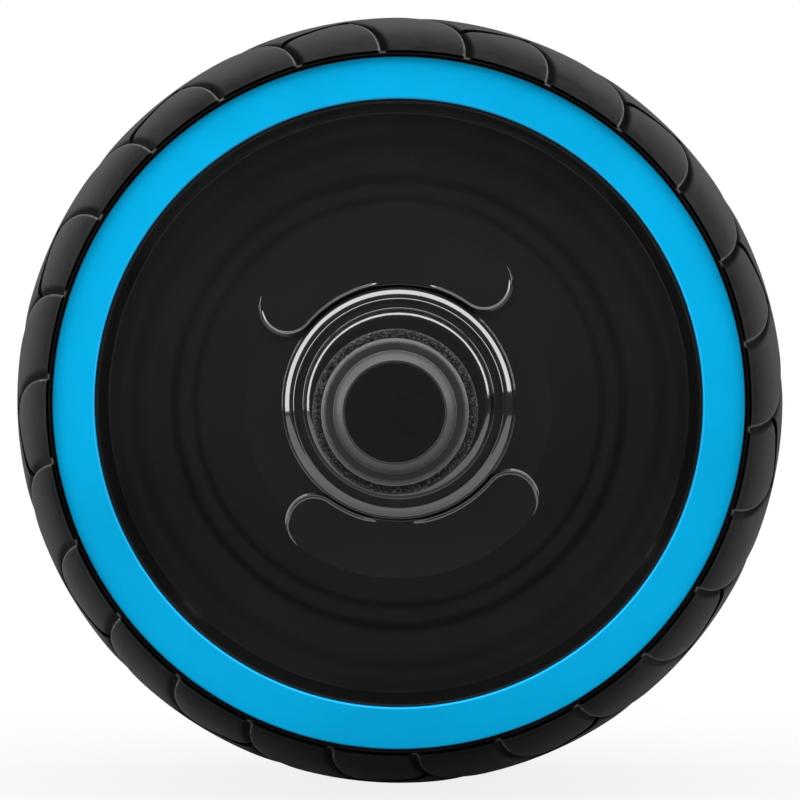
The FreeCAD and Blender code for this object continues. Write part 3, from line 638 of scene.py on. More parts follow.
class Tread:
    """Where each row and column of the tyre's mesh lies. A pitch runs from one long groove to the
    next, with a short groove half way, and its columns are measured in half pitches."""

    # Places from one groove to the next, close together near the grooves: only their shares count
    COLUMNS = (
        0, 0.14, 0.28, 0.42, 0.6, 0.85, 1.2, 1.75, 2.5, 3.5, 4.7, 5.9, 7.1, 8.3, 9.5, 10.7, 11.9,
        13.1, 14.3, 15.3, 16.15, 17.35, 18.35, 19.15, 19.75, 20.25, 20.65, 21.0, 21.3, 21.55, 21.75,
    )
    # The tyre's end from its lip, over a narrow channel, to the foot of the blocks: beyond the
    # lip's outer radius, and short of the tyre's end, in thousandths
    END = (
        (-0.5, 0.25), (-0.38, 0.0), (-0.14, 0.0), (-0.02, 0.2), (0.02, 2.0), (0.1, 2.3),
        (0.36, 2.3), (0.44, 2.0), (0.52, 1.72), (0.62, 1.66), (0.74, 1.72),
    )
    CHANNEL = range(4, 8)  # the rows of the end that lie in the channel
    # Rows over a branch groove, in half heights of the groove
    ACROSS = (2.0, 1.45, 1.05, 0.8, 0.5, 0.0, -0.5, -0.8, -1.0, -1.25, -1.8)
    SHOULDER_ROWS, CROWN_ROWS = 13, 9
    BLOCK_START = 0.0021  # tyre's end to the first row of the blocks
    BRANCH_HALF = (0.0008, 0.0016)  # half a branch groove's height, at its tip and at its foot
    # A branch groove and its dark shade, each as the part below its middle and the part above
    FORK = ((0.5, 1.0), (0.5, 1.45))
    SHADE = ((1.0, 1.2), (0.3, 0.9))
    SHORT_FADE = (0.2, 1.0)  # where a short groove fades out, below the branch's middle
    CRISP_SIDE = (0.00012, 0.00056)  # a groove's crisp side, from its floor to its edge
    SOFT_START, SOFT_CURVE = 0.00004, 1.35  # where its soft side starts, and how hollow it is
    WORN_AT, WORN_WIDTH = 0.00068, 0.00045  # the pale line along its crisp side: wear and painted highlight
    FULL_DEPTH, END_DEPTH = (0.0017, 0.006), 0.3  # a groove grows deeper from the tyre's end
    PUFF_ASIDE, PUFF_END = 0.005, (0.0015, 0.005)  # where a block's swelling is complete
    # The spurs that cross the channel: half widths, sink, fall from row to row, notch, and wear
    # with painted highlight
    SPUR = (0.0003, 0.0012)
    SPUR_SINK, SPUR_FALL, SPUR_NOTCH, SPUR_WEAR = 0.0004, 0.00012, 0.0003, 0.8
    END_SHADE = 0.3

    def __init__(self, settings):
        self.s = settings
        self.half = math.pi / settings.pitches
        shares = [place / self.COLUMNS[-1] for place in self.COLUMNS]
        self.columns = shares[:-1] + [1 + share for share in shares]
        shoulder, crown = self.SHOULDER_ROWS, self.CROWN_ROWS
        half_rows = [("end", number) for number in range(len(self.END))]
        half_rows += [("shoulder", row / shoulder) for row in range(shoulder)]
        half_rows += [("branch", share) for share in self.ACROSS]
        half_rows += [("crown", row / crown) for row in range(1, crown)]
        self.rows = [(*row, 1) for row in half_rows] + [("crown", 1.0, 1)]
        self.rows += [(*row, -1) for row in reversed(half_rows)]
        self.rows += [("bore", share, -1) for share in (0, 1, 0.5)] + [("bore", 0, 0)]
        self.rows += [("bore", share, 1) for share in (0.5, 1, 0)]

    def barrel(self, level, sink=0.0):
        """Radius of the tread at that level, or of a barrel that lies deeper in the rubber."""
        arc = self.s.bulge - sink
        return self.s.crown - self.s.bulge + math.sqrt(arc * arc - level * level)

    def drift(self, level):
        """How far round the wheel a groove has come at that level."""
        reach = self.s.end - level
        aside = self.s.bend - math.sqrt(self.s.bend ** 2 - reach ** 2)
        return math.asin(aside / self.barrel(level))

    def branch(self, column):
        """Level of the branch groove's middle, and half its height, at a column."""
        share = abs(column - 1)
        foot = self.s.end - self.s.elbow
        tip = self.s.end - self.s.short
        return between(tip, foot, share), between(*self.BRANCH_HALF, share)

    def aside(self, column, radius, level):
        """Distance over the surface to the nearest groove, positive on its anticlockwise side, and
        whether it is a short one."""
        nearest = round(column)
        reach = max(self.s.end - level, 0.0)
        lean = math.sqrt(1 - (reach / self.s.bend) ** 2)
        return (column - nearest) * self.half * radius * lean, nearest == 1

    def cut(self, distance):
        """Share of the groove's depth beside its middle: a crisp side and a soft one."""
        if distance >= 0:
            return 1 - ease(*self.CRISP_SIDE, distance)
        return (1 - ease(self.SOFT_START, self.s.slope, -distance)) ** self.SOFT_CURVE

    def wear_and_highlight(self, distance):
        """Share of wear and painted highlight along the crisp edge of a groove."""
        return 1 - ease(0.0, self.WORN_WIDTH, abs(distance - self.WORN_AT))

    def end_point(self, number, column):
        """Radius, level, groove share and wear on the tyre's end."""
        out, back = (value * 0.001 for value in self.END[number])
        radius, level = self.barrel(self.s.end) + out, self.s.end - back
        distance, _ = self.aside(column, radius, level)
        spur = 1 - ease(*self.SPUR, abs(distance))
        shade = self.END_SHADE
        first, last = self.CHANNEL[0], self.CHANNEL[-1]
        if number in self.CHANNEL:
            sink = self.s.end - self.SPUR_SINK - self.SPUR_FALL * (number - first + 1)
            level = between(level, sink, spur)
            shade = 1 - spur
        if number > last:
            radius -= self.SPUR_NOTCH * spur
        worn = spur * self.SPUR_WEAR if number >= first else 0.0
        return radius, level, shade, worn

    def tread_point(self, kind, share, column):
        """Radius, level, groove share and wear on the blocks and in their grooves."""
        middle, half_height = self.branch(column)
        if kind == "shoulder":
            start = self.s.end - self.BLOCK_START
            level = between(start, middle + self.ACROSS[0] * half_height, share)
        elif kind == "branch":
            level = middle + share * half_height
        else:
            level = between(middle + self.ACROSS[-1] * half_height, 0.0, share)
        radius = self.barrel(level)
        distance, is_short = self.aside(column, radius, level)
        groove, worn = self.cut(distance), self.wear_and_highlight(distance)
        near = 1 - ease(0.0, self.PUFF_ASIDE, abs(distance))
        past_branch = kind == "crown" or (kind == "branch" and share < 0)
        if is_short and past_branch:
            fade = 0.0 if kind == "crown" else 1 - ease(*self.SHORT_FADE, -share)
            groove, near, worn = groove * fade, near * fade, worn * fade
        fork = shade = 0.0
        if kind == "branch" and 1 <= column <= 2:
            part = 0 if share < 0 else 1
            fork = 1 - ease(*self.FORK[part], abs(share))
            shade = 1 - ease(*self.SHADE[part], abs(share))
            worn *= 1 - fork
        from_end = self.s.end - level
        depth = self.s.depth * between(self.END_DEPTH, 1.0, ease(*self.FULL_DEPTH, from_end))
        drawn_in = max(near, 1 - ease(*self.PUFF_END, from_end))
        radius = radius - depth * max(groove, fork) - self.s.puff * drawn_in
        return radius, level, max(groove, fork, shade), worn

    def bore_point(self, share, side):
        if side and share == 0:
            return self.barrel(self.s.end) - self.s.lip, self.s.seat
        level = self.s.seat * share
        return self.barrel(level, self.s.wall), level

    def point(self, row, column):
        """Angle, radius, level, groove share and wear of one corner of the mesh."""
        kind, share, side = row
        groove = worn = 0.0
        turn = self.s.phase + column * self.half
        if kind == "bore":
            radius, level = self.bore_point(share, side)
        elif kind == "end":
            radius, level, groove, worn = self.end_point(share, column)
        else:
            radius, level, groove, worn = self.tread_point(kind, share, column)
            turn += self.drift(level)
        return turn, radius, level * (side or 1), groove, worn


class ROLLER_OT_tyre(bpy.types.Operator):
    """Make the rubber tyre: one pitch of its tread is shaped and repeated round the wheel"""

    bl_idname = "roller.tyre"
    bl_label = "Tyre"

    DUST_AND_SHEEN_REACH = (0.002, 0.03)  # tyre's end to where the crown's dust and painted sheen start and are complete

    def execute(self, context):
        settings = context.scene.roller_tyre
        tread = Tread(settings)
        mesh = bmesh.new()
        layers = mesh.verts.layers
        layers.int.new("row")
        # Marks on the rubber: groove is the groove's share and its painted shade, edge is wear with
        # painted highlight, crown is dust with painted sheen
        names = ("groove", "edge", "crown")
        for name in names:
            layers.float.new(name)
        row_of, marks = layers.int["row"], [layers.float[name] for name in names]
        chain = []
        for number, row in enumerate(tread.rows):
            _, radius, level, _, _ = tread.point(row, 0.5)
            vert = mesh.verts.new((radius, -level, 0.0))
            vert[row_of] = number
            chain.append(vert)
        for first, second in zip(chain, chain[1:] + chain[:1]):
            mesh.edges.new((first, second))
        steps = len(tread.columns) - 1
        pitch = 2 * tread.half
        bmesh.ops.spin(
            mesh, geom=mesh.verts[:] + mesh.edges[:], cent=(0, 0, 0), axis=ABOUT_BAR, angle=pitch,
            steps=steps,
        )
        for vert in mesh.verts:
            column = tread.columns[round(math.atan2(vert.co.z, vert.co.x) / pitch * steps)]
            turn, radius, level, groove, worn = tread.point(tread.rows[vert[row_of]], column)
            vert.co = (radius * math.cos(turn), -level, radius * math.sin(turn))
            crown = ease(*self.DUST_AND_SHEEN_REACH, settings.end - abs(level))
            for mark, value in zip(marks, (groove, worn, crown)):
                vert[mark] = value
        others = settings.pitches - 1
        bmesh.ops.spin(
            mesh, geom=mesh.verts[:] + mesh.edges[:] + mesh.faces[:], cent=(0, 0, 0),
            axis=ABOUT_BAR, angle=pitch * others, steps=others, use_duplicate=True,
        )
        close_up(mesh)
        rubber = rubber_material(settings)
        keep(mesh, "tyre_tread", rubber, "wheel", "tyre", sharp=60, even=False)
        return {"FINISHED"}


# Rows of a kidney pad from its foot to its top, as thousandths in from its edge
PAD_ROWS = (
    -0.3, -0.01, 0.0, 0.02, 0.06, 0.12, 0.2, 0.3, 0.4, 0.5, 0.6, 0.7, 0.8, 0.9, 1.0, 1.1, 1.2,
    1.32, 1.6, 4.2,
)
PAD_BASE = -0.001  # the pad's underside, hidden in the wall of the bowl
PAD_FOOT_SINK, PAD_TOP_SINK = 0.00003, 0.00002  # how far its edges lie under the bowl's surface
PAD_SIDE, PAD_END = 72, 24  # columns of its mesh along a side and round an end
PAD_TURN_CRISP = (0.0, 0.15)  # part of an end over which its soft edge turns crisp
LIP_GROWTH = (0.1, 0.4)  # part of an end over which the lip grows
LIP_BREAK, LIP_BREAK_ENDS = 0.16, (0.14, 0.3)  # the break in the lip, as turns along the hub


def pad_stations(half):
    """Once round a kidney pad: the turn of a place on its middle line, the way out from there to
    the edge, how soft the edge is and how much of a lip stands on it."""
    def end(share):
        return 1 - ease(*PAD_TURN_CRISP, share), ease(*LIP_GROWTH, share)

    for step in range(PAD_SIDE):
        turn = between(-half, half, step / PAD_SIDE)
        yield turn, turn, 1.0, 0.0
    for step in range(PAD_END):
        share = step / PAD_END
        yield half, half + math.pi * share, *end(share)
    for step in range(PAD_SIDE):
        turn = between(half, -half, step / PAD_SIDE)
        yield turn, turn + math.pi, 0.0, ease(*LIP_BREAK_ENDS, abs(turn + LIP_BREAK))
    for step in range(PAD_END):
        share = 1 - step / PAD_END
        yield -half, math.pi * (2 - share) - half, *end(share)


def kidney_pad(mesh, settings, floor, foot, arc, tilt):
    """A raised pad with round ends, set into the bowl: its edge is crisp along the hub and soft
    outside."""
    wide, rise, rounding = settings.pad_width / 2, settings.pad_rise, settings.pad_edge
    lip_height, lip_half = settings.pad_lip, settings.pad_lip_width
    middle = settings.boss + settings.pad_gap + wide
    stations = list(pad_stations(settings.pad_half))
    number_of = mesh.verts.layers.int["station"]

    def height(inset, radius, soft, lip):
        beyond = max(radius - foot, 0.0)
        bowl = arc - math.sqrt(arc * arc - beyond * beyond)
        if inset < 0:
            crisp = bowl - PAD_FOOT_SINK
        else:
            left = 1 - min(inset / rounding, 1.0)
            crisp = rise - rounding + rounding * math.sqrt(1 - left * left)
            crisp += lip * lip_height * swell(inset - lip_half, lip_half)
        return between(crisp, max(rise, bowl - PAD_TOP_SINK), soft)

    def put(vert, inset, base=None):
        turn, way, soft, lip = stations[vert[number_of]]
        across = middle * math.cos(tilt + turn) + (wide - inset) * math.cos(tilt + way)
        up = middle * math.sin(tilt + turn) + (wide - inset) * math.sin(tilt + way)
        rise_here = height(inset, math.hypot(across, up), soft, lip) if base is None else base
        vert.co = (across, -(floor + rise_here), up)

    ring = []
    for number in range(len(stations)):
        vert = mesh.verts.new()
        vert[number_of] = number
        put(vert, PAD_ROWS[0] * 0.001, PAD_BASE)
        ring.append(vert)
    edges = [mesh.edges.new(pair) for pair in zip(ring, ring[1:] + ring[:1])]
    bmesh.ops.contextual_create(mesh, geom=edges)
    for inset in PAD_ROWS:
        made = bmesh.ops.extrude_edge_only(mesh, edges=edges)["geom"]
        new = set(of_kind(bmesh.types.BMVert, made))
        edges = [edge for edge in of_kind(bmesh.types.BMEdge, made) if new.issuperset(edge.verts)]
        for vert in new:
            put(vert, inset * 0.001)
    bmesh.ops.contextual_create(mesh, geom=edges)


class ROLLER_OT_side_covers(bpy.types.Operator):
    """Make the glossy dished covers, each with a hub boss and two kidney pads"""

    bl_idname = "roller.side_covers"
    bl_label = "Side covers"

    LIP_ROUND, FOOT_ROUND, BAND_ROUND, RECESS_ROUND = 0.0004, 0.0003, 0.0022, 0.00012
    # The fine steps on the boss's rim and face: width of the rise, and its rounding
    RIM_STEP, RIM_STEP_ROUND = 0.00014, 0.00005
    FACE_STEP, FACE_STEP_ROUND = 0.00008, 0.00003
    FACE_FALL = 0.0012  # width over which the face falls again inside its step
    EDGE_TURN = 0.03  # turn at the top of the bowl that its edge takes up
    BOWL_ROWS, BACK_ROWS, COLUMNS, ROUND_STEPS = 116, 12, 288, 8

    def execute(self, context):
        s = context.scene.roller_cover
        back = RING_FACE - s.ring_depth
        rim_back = back - s.flange
        lip = RING_RADIUS - s.ring_width - s.lip_gap
        lip_top = RING_FACE - s.lip_sink
        bowl_edge = lip - s.slope
        bowl_top = lip_top - s.slope_drop - s.slope_step
        floor = RING_FACE - s.depth
        foot = s.boss + s.toe
        wide, deep = bowl_edge - foot, bowl_top - floor
        arc = (wide * wide + deep * deep) / (2 * deep)
        sweep = math.asin(wide / arc) - self.EDGE_TURN
        back_sweep = math.acos((floor + arc - rim_back) / (arc + s.wall))
        shoulder = BOSS_TOP - s.boss_fall
        recess = s.boss - s.boss_shoulder
        boss_face = BOSS_TOP - s.boss_recess
        crown = boss_face + s.boss_crown
        hub_end = boss_face - s.boss_cap
        boss_inner = s.boss - s.boss_wall
        rim_step, face_step = s.boss_steps

        def dish():
            outline = Outline().to(
                (COVER_RADIUS, rim_back), (COVER_RADIUS, back), (lip, back),
                (lip, lip_top, self.LIP_ROUND), (bowl_edge, bowl_top, s.slope_blend),
                (foot + arc * math.sin(sweep), floor + arc * (1 - math.cos(sweep))),
            ).arc(foot, floor + arc, sweep, self.BOWL_ROWS)
            rings = list(zip(s.shade_rings, s.shade_ring_widths, s.shade_ring_strengths))
            # Painted shade in rings and along the border inside the rim
            outline.paint_shade(rings, bowl_edge, s.border)
            outline.to(
                (s.boss + s.boss_draft, floor, self.FOOT_ROUND),
                (s.boss, shoulder - s.boss_band_fall, s.boss_round),
                (s.boss - s.boss_band, shoulder, self.BAND_ROUND),
                (rim_step + self.RIM_STEP, BOSS_TOP - s.boss_step, self.RIM_STEP_ROUND),
                (rim_step, BOSS_TOP, self.RIM_STEP_ROUND),
                (recess, BOSS_TOP, self.RECESS_ROUND), (recess, boss_face),
                (face_step + self.FACE_STEP, crown, self.FACE_STEP_ROUND),
                (face_step, crown + s.boss_step / 2, self.FACE_STEP_ROUND),
                (face_step - self.FACE_FALL, boss_face), (s.bore, boss_face),
                (s.bore, hub_end), (boss_inner, hub_end),
                (boss_inner, floor - s.wall), (foot, floor - s.wall),
            ).arc(foot, floor + arc, -back_sweep, self.BACK_ROWS).close()
            mesh = outline.turned(self.COLUMNS, self.ROUND_STEPS)
            for tilt in (s.pad_tilt, s.pad_tilt + math.pi):
                kidney_pad(mesh, s, floor, foot, arc, tilt)
            bmesh.ops.recalc_face_normals(mesh, faces=mesh.faces[:])
            return mesh

        gloss = gloss_material(s)
        keep_pair(dish, "cover_dish", gloss, "wheel", "side_cover")
        return {"FINISHED"}


class ROLLER_OT_trim_rings(bpy.types.Operator):
    """Make the flat blue rings"""

    bl_idname = "roller.trim_rings"
    bl_label = "Trim rings"

    BACK_ROUND = 0.0002
    COLUMNS = 360

    def execute(self, context):
        s = context.scene.roller_cover
        inner = RING_RADIUS - s.ring_width
        back = RING_FACE - s.ring_depth

        def band():
            return Outline().to(
                (inner, back, self.BACK_ROUND), (RING_RADIUS, back, self.BACK_ROUND),
                (RING_RADIUS, RING_FACE, s.ring_edge), (inner, RING_FACE, s.ring_edge),
            ).close().turned(self.COLUMNS)

        keep_pair(band, "ring_band", ring_material(s), "wheel", "trim_ring")
        return {"FINISHED"}


def grub_hole(mesh, settings):
    """Cuts a round hole for the grub screw through the top of a collar."""
    room = settings.grub * 1.15
    top = COLLAR_RADIUS * 0.9
    rim_sink, floor_gap = 0.00005, 0.0001

    def in_patch(face):
        middle = face.calc_center_median()
        return middle.z > top and abs(middle.x) < room and abs(middle.y + COLLAR_MIDDLE) < room

    patch = [face for face in mesh.faces if in_patch(face)]
    bmesh.ops.delete(mesh, geom=patch, context="FACES")
    border = [edge for edge in mesh.edges if edge.is_boundary]
    before = set(mesh.verts)
    bmesh.ops.create_circle(
        mesh, cap_ends=False, radius=settings.grub, segments=len(border),
        matrix=Matrix.Translation((0, -COLLAR_MIDDLE, 0)),
    )
    circle = [vert for vert in mesh.verts if vert not in before]
    for vert in circle:
        vert.co.z = math.sqrt(COLLAR_RADIUS ** 2 - vert.co.x ** 2) - rim_sink
    loop = list({edge for vert in circle for edge in vert.link_edges})
    bmesh.ops.bridge_loops(mesh, edges=border + loop)
    sunk = bmesh.ops.extrude_edge_only(mesh, edges=loop)["geom"]
    for vert in of_kind(bmesh.types.BMVert, sunk):
        vert.co.z = settings.bar + floor_gap
    bmesh.ops.contextual_create(mesh, geom=of_kind(bmesh.types.BMEdge, sunk))
    bmesh.ops.recalc_face_normals(mesh, faces=mesh.faces[:])


class ROLLER_OT_stop_collars(bpy.types.Operator):
    """Make the collars that keep the wheel in the middle of the bar"""

    bl_idname = "roller.stop_collars"
    bl_label = "Stop collars"

    BACK_ROUND = 0.0004
    COLUMNS, ROUND_STEPS = 144, 6

    def execute(self, context):
        s = context.scene.roller_handle
        rows = [
            (COLLAR_RADIUS, between(COLLAR_BACK, COLLAR_FACE, tenth / 10)) for tenth in range(1, 9)
        ]

        def collar():
            mesh = Outline().to(
                (s.bar, COLLAR_BACK), (COLLAR_RADIUS, COLLAR_BACK, self.BACK_ROUND), *rows,
                (COLLAR_RADIUS, COLLAR_FACE, s.collar_edge), (s.bar, COLLAR_FACE),
            ).close().turned(self.COLUMNS, self.ROUND_STEPS)
            grub_hole(mesh, s)
            return mesh

        plastic = moulded_material(
            "collar_plastic", tint(16, 16, 18), (0.06, 0.12), 2400.0, edges=2.0, shine=1.0,
            coat=1.0,
        )
        keep_pair(collar, "collar_body", plastic, "handle_bar", "stop_collar")
        return {"FINISHED"}


class ROLLER_OT_collar_screws(bpy.types.Operator):
    """Make the grub screws that hold the collars, each with a hexagon socket"""

    bl_idname = "roller.collar_screws"
    bl_label = "Collar screws"

    CORNERS = 24
    BEVEL_WIDTH, BEVEL_FALL = 0.0003, 0.0002
    RIM_WIDTH = 0.0006

    def execute(self, context):
        s = context.scene.roller_handle
        level = -COLLAR_MIDDLE
        top = COLLAR_RADIUS - s.grub_sink
        sixth = math.pi / 3

        def screw():
            mesh = bmesh.new()
            bmesh.ops.create_circle(
                mesh, cap_ends=True, radius=s.grub_screw, segments=self.CORNERS,
                matrix=Matrix.Translation((0, level, s.bar)),
            )
            risen = bmesh.ops.extrude_face_region(mesh, geom=mesh.faces[:], use_keep_orig=True)
            (cap,) = of_kind(bmesh.types.BMFace, risen["geom"])
            bmesh.ops.translate(mesh, vec=(0, 0, top - s.bar), verts=cap.verts[:])
            bmesh.ops.inset_region(mesh, faces=[cap], thickness=self.BEVEL_WIDTH)
            bmesh.ops.translate(mesh, vec=(0, 0, -self.BEVEL_FALL), verts=cap.verts[:])
            bmesh.ops.inset_region(mesh, faces=[cap], thickness=self.RIM_WIDTH)
            for vert in cap.verts:
                turn = math.atan2(vert.co.y - level, vert.co.x)
                flat = s.socket * math.cos(sixth / 2) / math.cos((turn % sixth) - sixth / 2)
                vert.co.x, vert.co.y = flat * math.cos(turn), level + flat * math.sin(turn)
            sunk = bmesh.ops.extrude_face_region(mesh, geom=[cap])["geom"]
            floor = of_kind(bmesh.types.BMVert, sunk)
            bmesh.ops.translate(mesh, vec=(0, 0, -s.socket_depth), verts=floor)
            bmesh.ops.delete(mesh, geom=[cap], context="FACES_ONLY")
            close_up(mesh)
            return mesh

        steel = metal_material("grub_steel", tint(96, 95, 94), (0.25, 0.4))
        keep_pair(screw, "grub_screw", steel, "handle_bar", "collar_screw")
        return {"FINISHED"}


class ROLLER_OT_grips(bpy.types.Operator):
    """Make the foam grips, with a skin that isn't quite even"""

    bl_idname = "roller.grips"
    bl_label = "Grips"

    ROWS, COLUMNS = 56, 128
    UNEVEN_SCALE = 90.0
    BORE_SKIN = 0.0005  # what lies nearer the bore than this stays even

    def execute(self, context):
        s = context.scene.roller_handle
        rows = [
            (GRIP_RADIUS, between(COLLAR_FACE, PLUG_SEAT, row / self.ROWS))
            for row in range(2, self.ROWS - 1)
        ]

        def sleeve():
            mesh = Outline().to(
                (s.bar, COLLAR_FACE), (GRIP_RADIUS, COLLAR_FACE, s.grip_edge), *rows,
                (GRIP_RADIUS, PLUG_SEAT, s.grip_edge), (s.bar, PLUG_SEAT),
            ).close().turned(self.COLUMNS)
            for vert in mesh.verts:
                radius = math.hypot(vert.co.x, vert.co.z)
                if radius > s.bar + self.BORE_SKIN:
                    uneven = 0.5 + 0.5 * noise.noise(vert.co * self.UNEVEN_SCALE)
                    drop = s.foam_swell * uneven
                    vert.co.x *= 1 - drop / radius
                    vert.co.z *= 1 - drop / radius
            return mesh

        foam = foam_material(s)
        for piece in keep_pair(
            sleeve, "foam_grip", foam, "handle_bar", "grip", even=False,
        ):
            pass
        return {"FINISHED"}


class ROLLER_OT_end_plugs(bpy.types.Operator):
    """Make the end plugs: a barbed stem, a flange over the foam and a raised middle"""

    bl_idname = "roller.end_plugs"
    bl_label = "End plugs"

    BARBS, BARB_PITCH, BARB_SLOPE = 3, 0.006, 0.004
    DISC_FIT = 0.00005
    BACK_ROUND, STEP_ROUND, RIM_ROUND, RECESS_ROUND = 0.0003, 0.00025, 0.0002, 0.0001
    COLUMNS = 144

    def execute(self, context):
        s = context.scene.roller_handle
        face = PLUG_SEAT + s.flange
        recess = DISC_RADIUS + self.DISC_FIT
        barbs = []
        for number in range(self.BARBS):
            foot = PLUG_START + self.BARB_PITCH * (number + 0.5)
            tip = foot + self.BARB_SLOPE
            barbs += [(s.stem, foot), (s.stem + s.barb, tip), (s.stem, tip)]

        def cap():
            return Outline().to(
                (0.0, PLUG_START), (s.stem, PLUG_START), *barbs, (s.stem, PLUG_SEAT),
                (PLUG_RADIUS, PLUG_SEAT, self.BACK_ROUND), (PLUG_RADIUS, face, s.flange_edge),
                (s.step, face, self.STEP_ROUND), (s.step, face + s.step_rise, self.STEP_ROUND),
                (s.rim, PLUG_TIP, self.RIM_ROUND), (recess, PLUG_TIP, self.RECESS_ROUND),
                (recess, DISC_BACK), (0.0, DISC_BACK),
            ).turned(self.COLUMNS)

        # Its edges are painted three times lighter: painted highlight as well as wear
        plastic = moulded_material("plug_plastic", s.plastic, (0.44, 0.56), 2200.0, edges=3.0)
        keep_pair(cap, "plug_cap", plastic, "handle_bar", "end_plug")
        return {"FINISHED"}


class ROLLER_OT_plug_discs(bpy.types.Operator):
    """Make the bare discs inlaid in the end plugs"""

    bl_idname = "roller.plug_discs"
    bl_label = "Plug discs"

    EDGE_ROUND = 0.00025
    COLUMNS = 144

    def execute(self, context):
        s = context.scene.roller_handle

        def inlay():
            return Outline().to(
                (0.0, DISC_BACK), (DISC_RADIUS, DISC_BACK),
                (DISC_RADIUS, PLUG_TIP, self.EDGE_ROUND), (0.0, PLUG_TIP),
            ).turned(self.COLUMNS)

        plastic = moulded_material(
            "disc_plastic", s.disc, (0.46, 0.58), 3000.0, edges=1.4, shine=0.15,
        )
        keep_pair(inlay, "disc_inlay", plastic, "handle_bar", "plug_disc")
        return {"FINISHED"}


class ROLLER_OT_inner_finishes(bpy.types.Operator):
    """Give the bar, the drum and the pieces between them their finishes"""

    bl_idname = "roller.inner_finishes"
    bl_label = "Inner finishes"

    def execute(self, context):
        finishes = {
            "handle_bar": metal_material("steel_tube", tint(178, 178, 180), (0.2, 0.34)),
            "wheel_drum": moulded_material("drum_plastic", tint(34, 34, 36), (0.4, 0.55), 1500.0),
        }
        pairs = {
            "bush": moulded_material(
                "bush_nylon", tint(205, 201, 190), (0.35, 0.5), 2000.0, edges=1.1,
            ),
            "thrust_washer": moulded_material(
                "washer_nylon", tint(32, 32, 34), (0.3, 0.45), 2000.0,
            ),
            "cover_screws": metal_material("screw_steel", tint(120, 118, 115), (0.25, 0.42)),
        }
        for side in SIDES:
            finishes.update({f"{side}_{node}": material for node, material in pairs.items()})
        for node, material in finishes.items():
            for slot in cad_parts[node].material_slots:
                slot.material = material
        return {"FINISHED"}


WHITE = (1.0, 1.0, 1.0, 1.0)
SHEET_GREY = (0.35, 0.35, 0.35, 1.0)  # what the floor and the backdrop throw back as light
# Distances from the object over which the floor goes from its shadow to white, and the shares of
# white at both ends: as it is seen, and as glossy parts mirror it
SHADOW_SEEN = (0.1, 0.28, 0.85, 1.0)
SHADOW_MIRRORED = (0.1, 0.2, 0.15, 1.0)


def stage_material(name, keeps_shadow):
    """White for whatever looks at it, with the object's own soft shadow near the object."""
    material = bpy.data.materials.new(name)
    material.use_nodes = True
    graph = Graph(material.node_tree)
    graph.tree.nodes.clear()
    seen, mirrored = graph.looks()
    if keeps_shadow:
        place = graph.add("TexCoord").outputs["Object"]
        away = graph.add("VectorMath", {0: place}, operation="LENGTH").outputs["Value"]
        seen = graph.times(seen, graph.span(away, *SHADOW_SEEN))
        mirrored = graph.times(mirrored, graph.span(away, *SHADOW_MIRRORED))
    lit = graph.add("BsdfDiffuse", {"Color": SHEET_GREY}).outputs[0]
    glow = graph.add("Emission", {"Color": WHITE, "Strength": 1.0}).outputs[0]
    mix = graph.add("MixShader", {0: graph.most(seen, mirrored), 1: lit, 2: glow})
    graph.add("OutputMaterial", {"Surface": mix.outputs[0]})
    return material


def studio_world(room, mirrored_share):
    """White where the camera looks past the floor, and otherwise a dim room, which the glossy
    covers mirror."""
    world = bpy.data.worlds.new("studio")
    world.use_nodes = True
    graph = Graph(world.node_tree)
    seen, mirrored = graph.looks()
    white = graph.most(seen, graph.times(mirrored, mirrored_share))
    background = graph.tree.nodes["Background"].inputs
    graph.feed(background["Color"], graph.span(white, 0.0, 1.0, room, 1.0))
    graph.feed(background["Strength"], 1.0)
    return world


def aim(thing, place, target=(0.0, 0.0, 0.0)):
    thing.location = place
    thing.rotation_euler = (Vector(target) - Vector(place)).to_track_quat("-Z", "Y").to_euler()


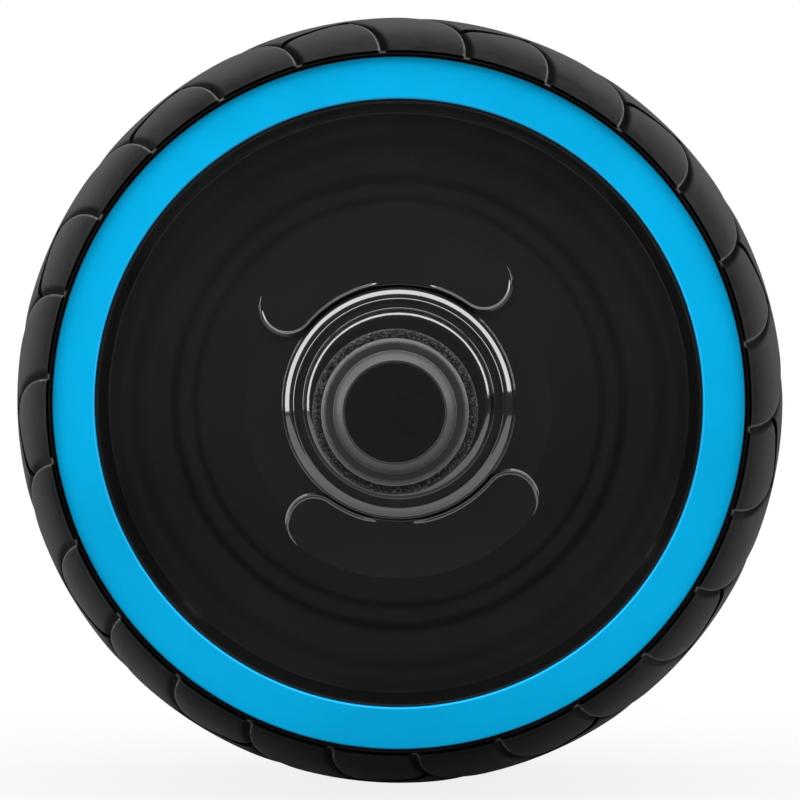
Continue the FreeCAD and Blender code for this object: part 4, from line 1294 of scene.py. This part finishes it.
class ROLLER_OT_stage(bpy.types.Operator):
    """Set up the floor, the backdrop, the soft boxes and the camera"""

    bl_idname = "roller.stage"
    bl_label = "Stage"

    # The floor is narrow in front, where the covers would mirror more of it, and wide behind
    NARROW, WIDE = 0.75, 2.5
    FRONT, MIDDLE, BACK = -0.55, 0.1, 2.5
    BACKDROP_TOP = 1.2
    # Soft boxes: width and height, distance aside and above, and the height that they face
    BOXES = {
        "top": ((2.1, 0.72), 0.0, 1.05, 0.0),
        "left": ((0.72, 1.14), -1.05, 0.48, 0.48),
        "right": ((0.72, 0.95), 1.05, 0.575, 0.575),
    }
    BOX_ALONG = 0.49  # from the middle of the wheel to the boxes in front, and to those behind
    SENSOR_WIDTH = 36.0

    def sheet(self, name, corners, material):
        mesh = bmesh.new()
        mesh.faces.new([mesh.verts.new(corner) for corner in corners])
        data = bpy.data.meshes.new(name)
        mesh.to_mesh(data)
        mesh.free()
        data.materials.append(material)
        sheet = bpy.data.objects.new(name, data)
        bpy.context.scene.collection.objects.link(sheet)

    def soft_box(self, name, power, size, place, target):
        lamp = bpy.data.lights.new(name, "AREA")
        lamp.shape = "RECTANGLE"
        lamp.size, lamp.size_y = size
        lamp.energy = power
        box = bpy.data.objects.new(name, lamp)
        box.visible_camera = False
        bpy.context.scene.collection.objects.link(box)
        aim(box, place, target)

    def execute(self, context):
        scene = context.scene
        s = scene.roller_studio
        near, wide, level, top = self.NARROW, self.WIDE, FLOOR_LEVEL, self.BACKDROP_TOP
        front, middle, back = self.FRONT, self.MIDDLE, self.BACK
        floor = [(-near, front), (near, front), (near, middle), (wide, middle)]
        floor += [(wide, back), (-wide, back), (-wide, middle), (-near, middle)]
        backdrop = [(-wide, level), (wide, level), (wide, top), (-wide, top)]
        self.sheet(
            "floor", [(*corner, level) for corner in floor], stage_material("floor_white", True),
        )
        self.sheet(
            "backdrop", [(across, back, up) for across, up in backdrop],
            stage_material("backdrop_white", False),
        )
        powers = {"top": s.key, "left": s.left, "right": s.right}
        rows = (("front", -self.BOX_ALONG, 1.0), ("back", self.BOX_ALONG, s.back))
        for row, along, share in rows:
            for name, (size, aside, above, facing) in self.BOXES.items():
                place, target = (aside, along, above), (0.0, along, facing)
                self.soft_box(f"{row}_{name}_box", powers[name] * share, size, place, target)
        scene.world = studio_world(s.room, s.mirrored)
        data = bpy.data.cameras.new("photo_camera")
        data.lens = s.lens
        data.sensor_width = self.SENSOR_WIDTH
        camera = bpy.data.objects.new("photo_camera", data)
        scene.collection.objects.link(camera)
        aim(camera, (s.aside, -s.distance, s.above))
        scene.camera = camera
        scene.view_settings.view_transform = "Standard"
        return {"FINISHED"}


PIECES = (
    ROLLER_OT_tyre, ROLLER_OT_side_covers, ROLLER_OT_trim_rings, ROLLER_OT_stop_collars,
    ROLLER_OT_collar_screws, ROLLER_OT_grips, ROLLER_OT_end_plugs, ROLLER_OT_plug_discs,
    ROLLER_OT_inner_finishes, ROLLER_OT_stage,
)


class ROLLER_PT_panel(bpy.types.Panel):
    """Lists the roller's pieces"""

    bl_idname = "ROLLER_PT_panel"
    bl_label = "Ab wheel roller"
    bl_space_type = "VIEW_3D"
    bl_region_type = "UI"
    bl_category = "Roller"

    def draw(self, context):
        for piece in PIECES:
            self.layout.operator(piece.bl_idname, text=piece.bl_label)


SETTINGS = {
    "roller_tyre": TyreSettings,
    "roller_cover": CoverSettings,
    "roller_handle": HandleSettings,
    "roller_studio": StudioSettings,
}


def register():
    for kind in (*SETTINGS.values(), *PIECES, ROLLER_PT_panel):
        bpy.utils.register_class(kind)
    for name, kind in SETTINGS.items():
        setattr(bpy.types.Scene, name, PointerProperty(type=kind))


def unregister():
    for name in SETTINGS:
        delattr(bpy.types.Scene, name)
    for kind in reversed((*SETTINGS.values(), *PIECES, ROLLER_PT_panel)):
        bpy.utils.unregister_class(kind)


def main():
    register()
    bpy.ops.roller.tyre()
    bpy.ops.roller.side_covers()
    bpy.ops.roller.trim_rings()
    bpy.ops.roller.stop_collars()
    bpy.ops.roller.collar_screws()
    bpy.ops.roller.grips()
    bpy.ops.roller.end_plugs()
    bpy.ops.roller.plug_discs()
    bpy.ops.roller.inner_finishes()
    bpy.ops.roller.stage()


if __name__ == "__main__":
    main()
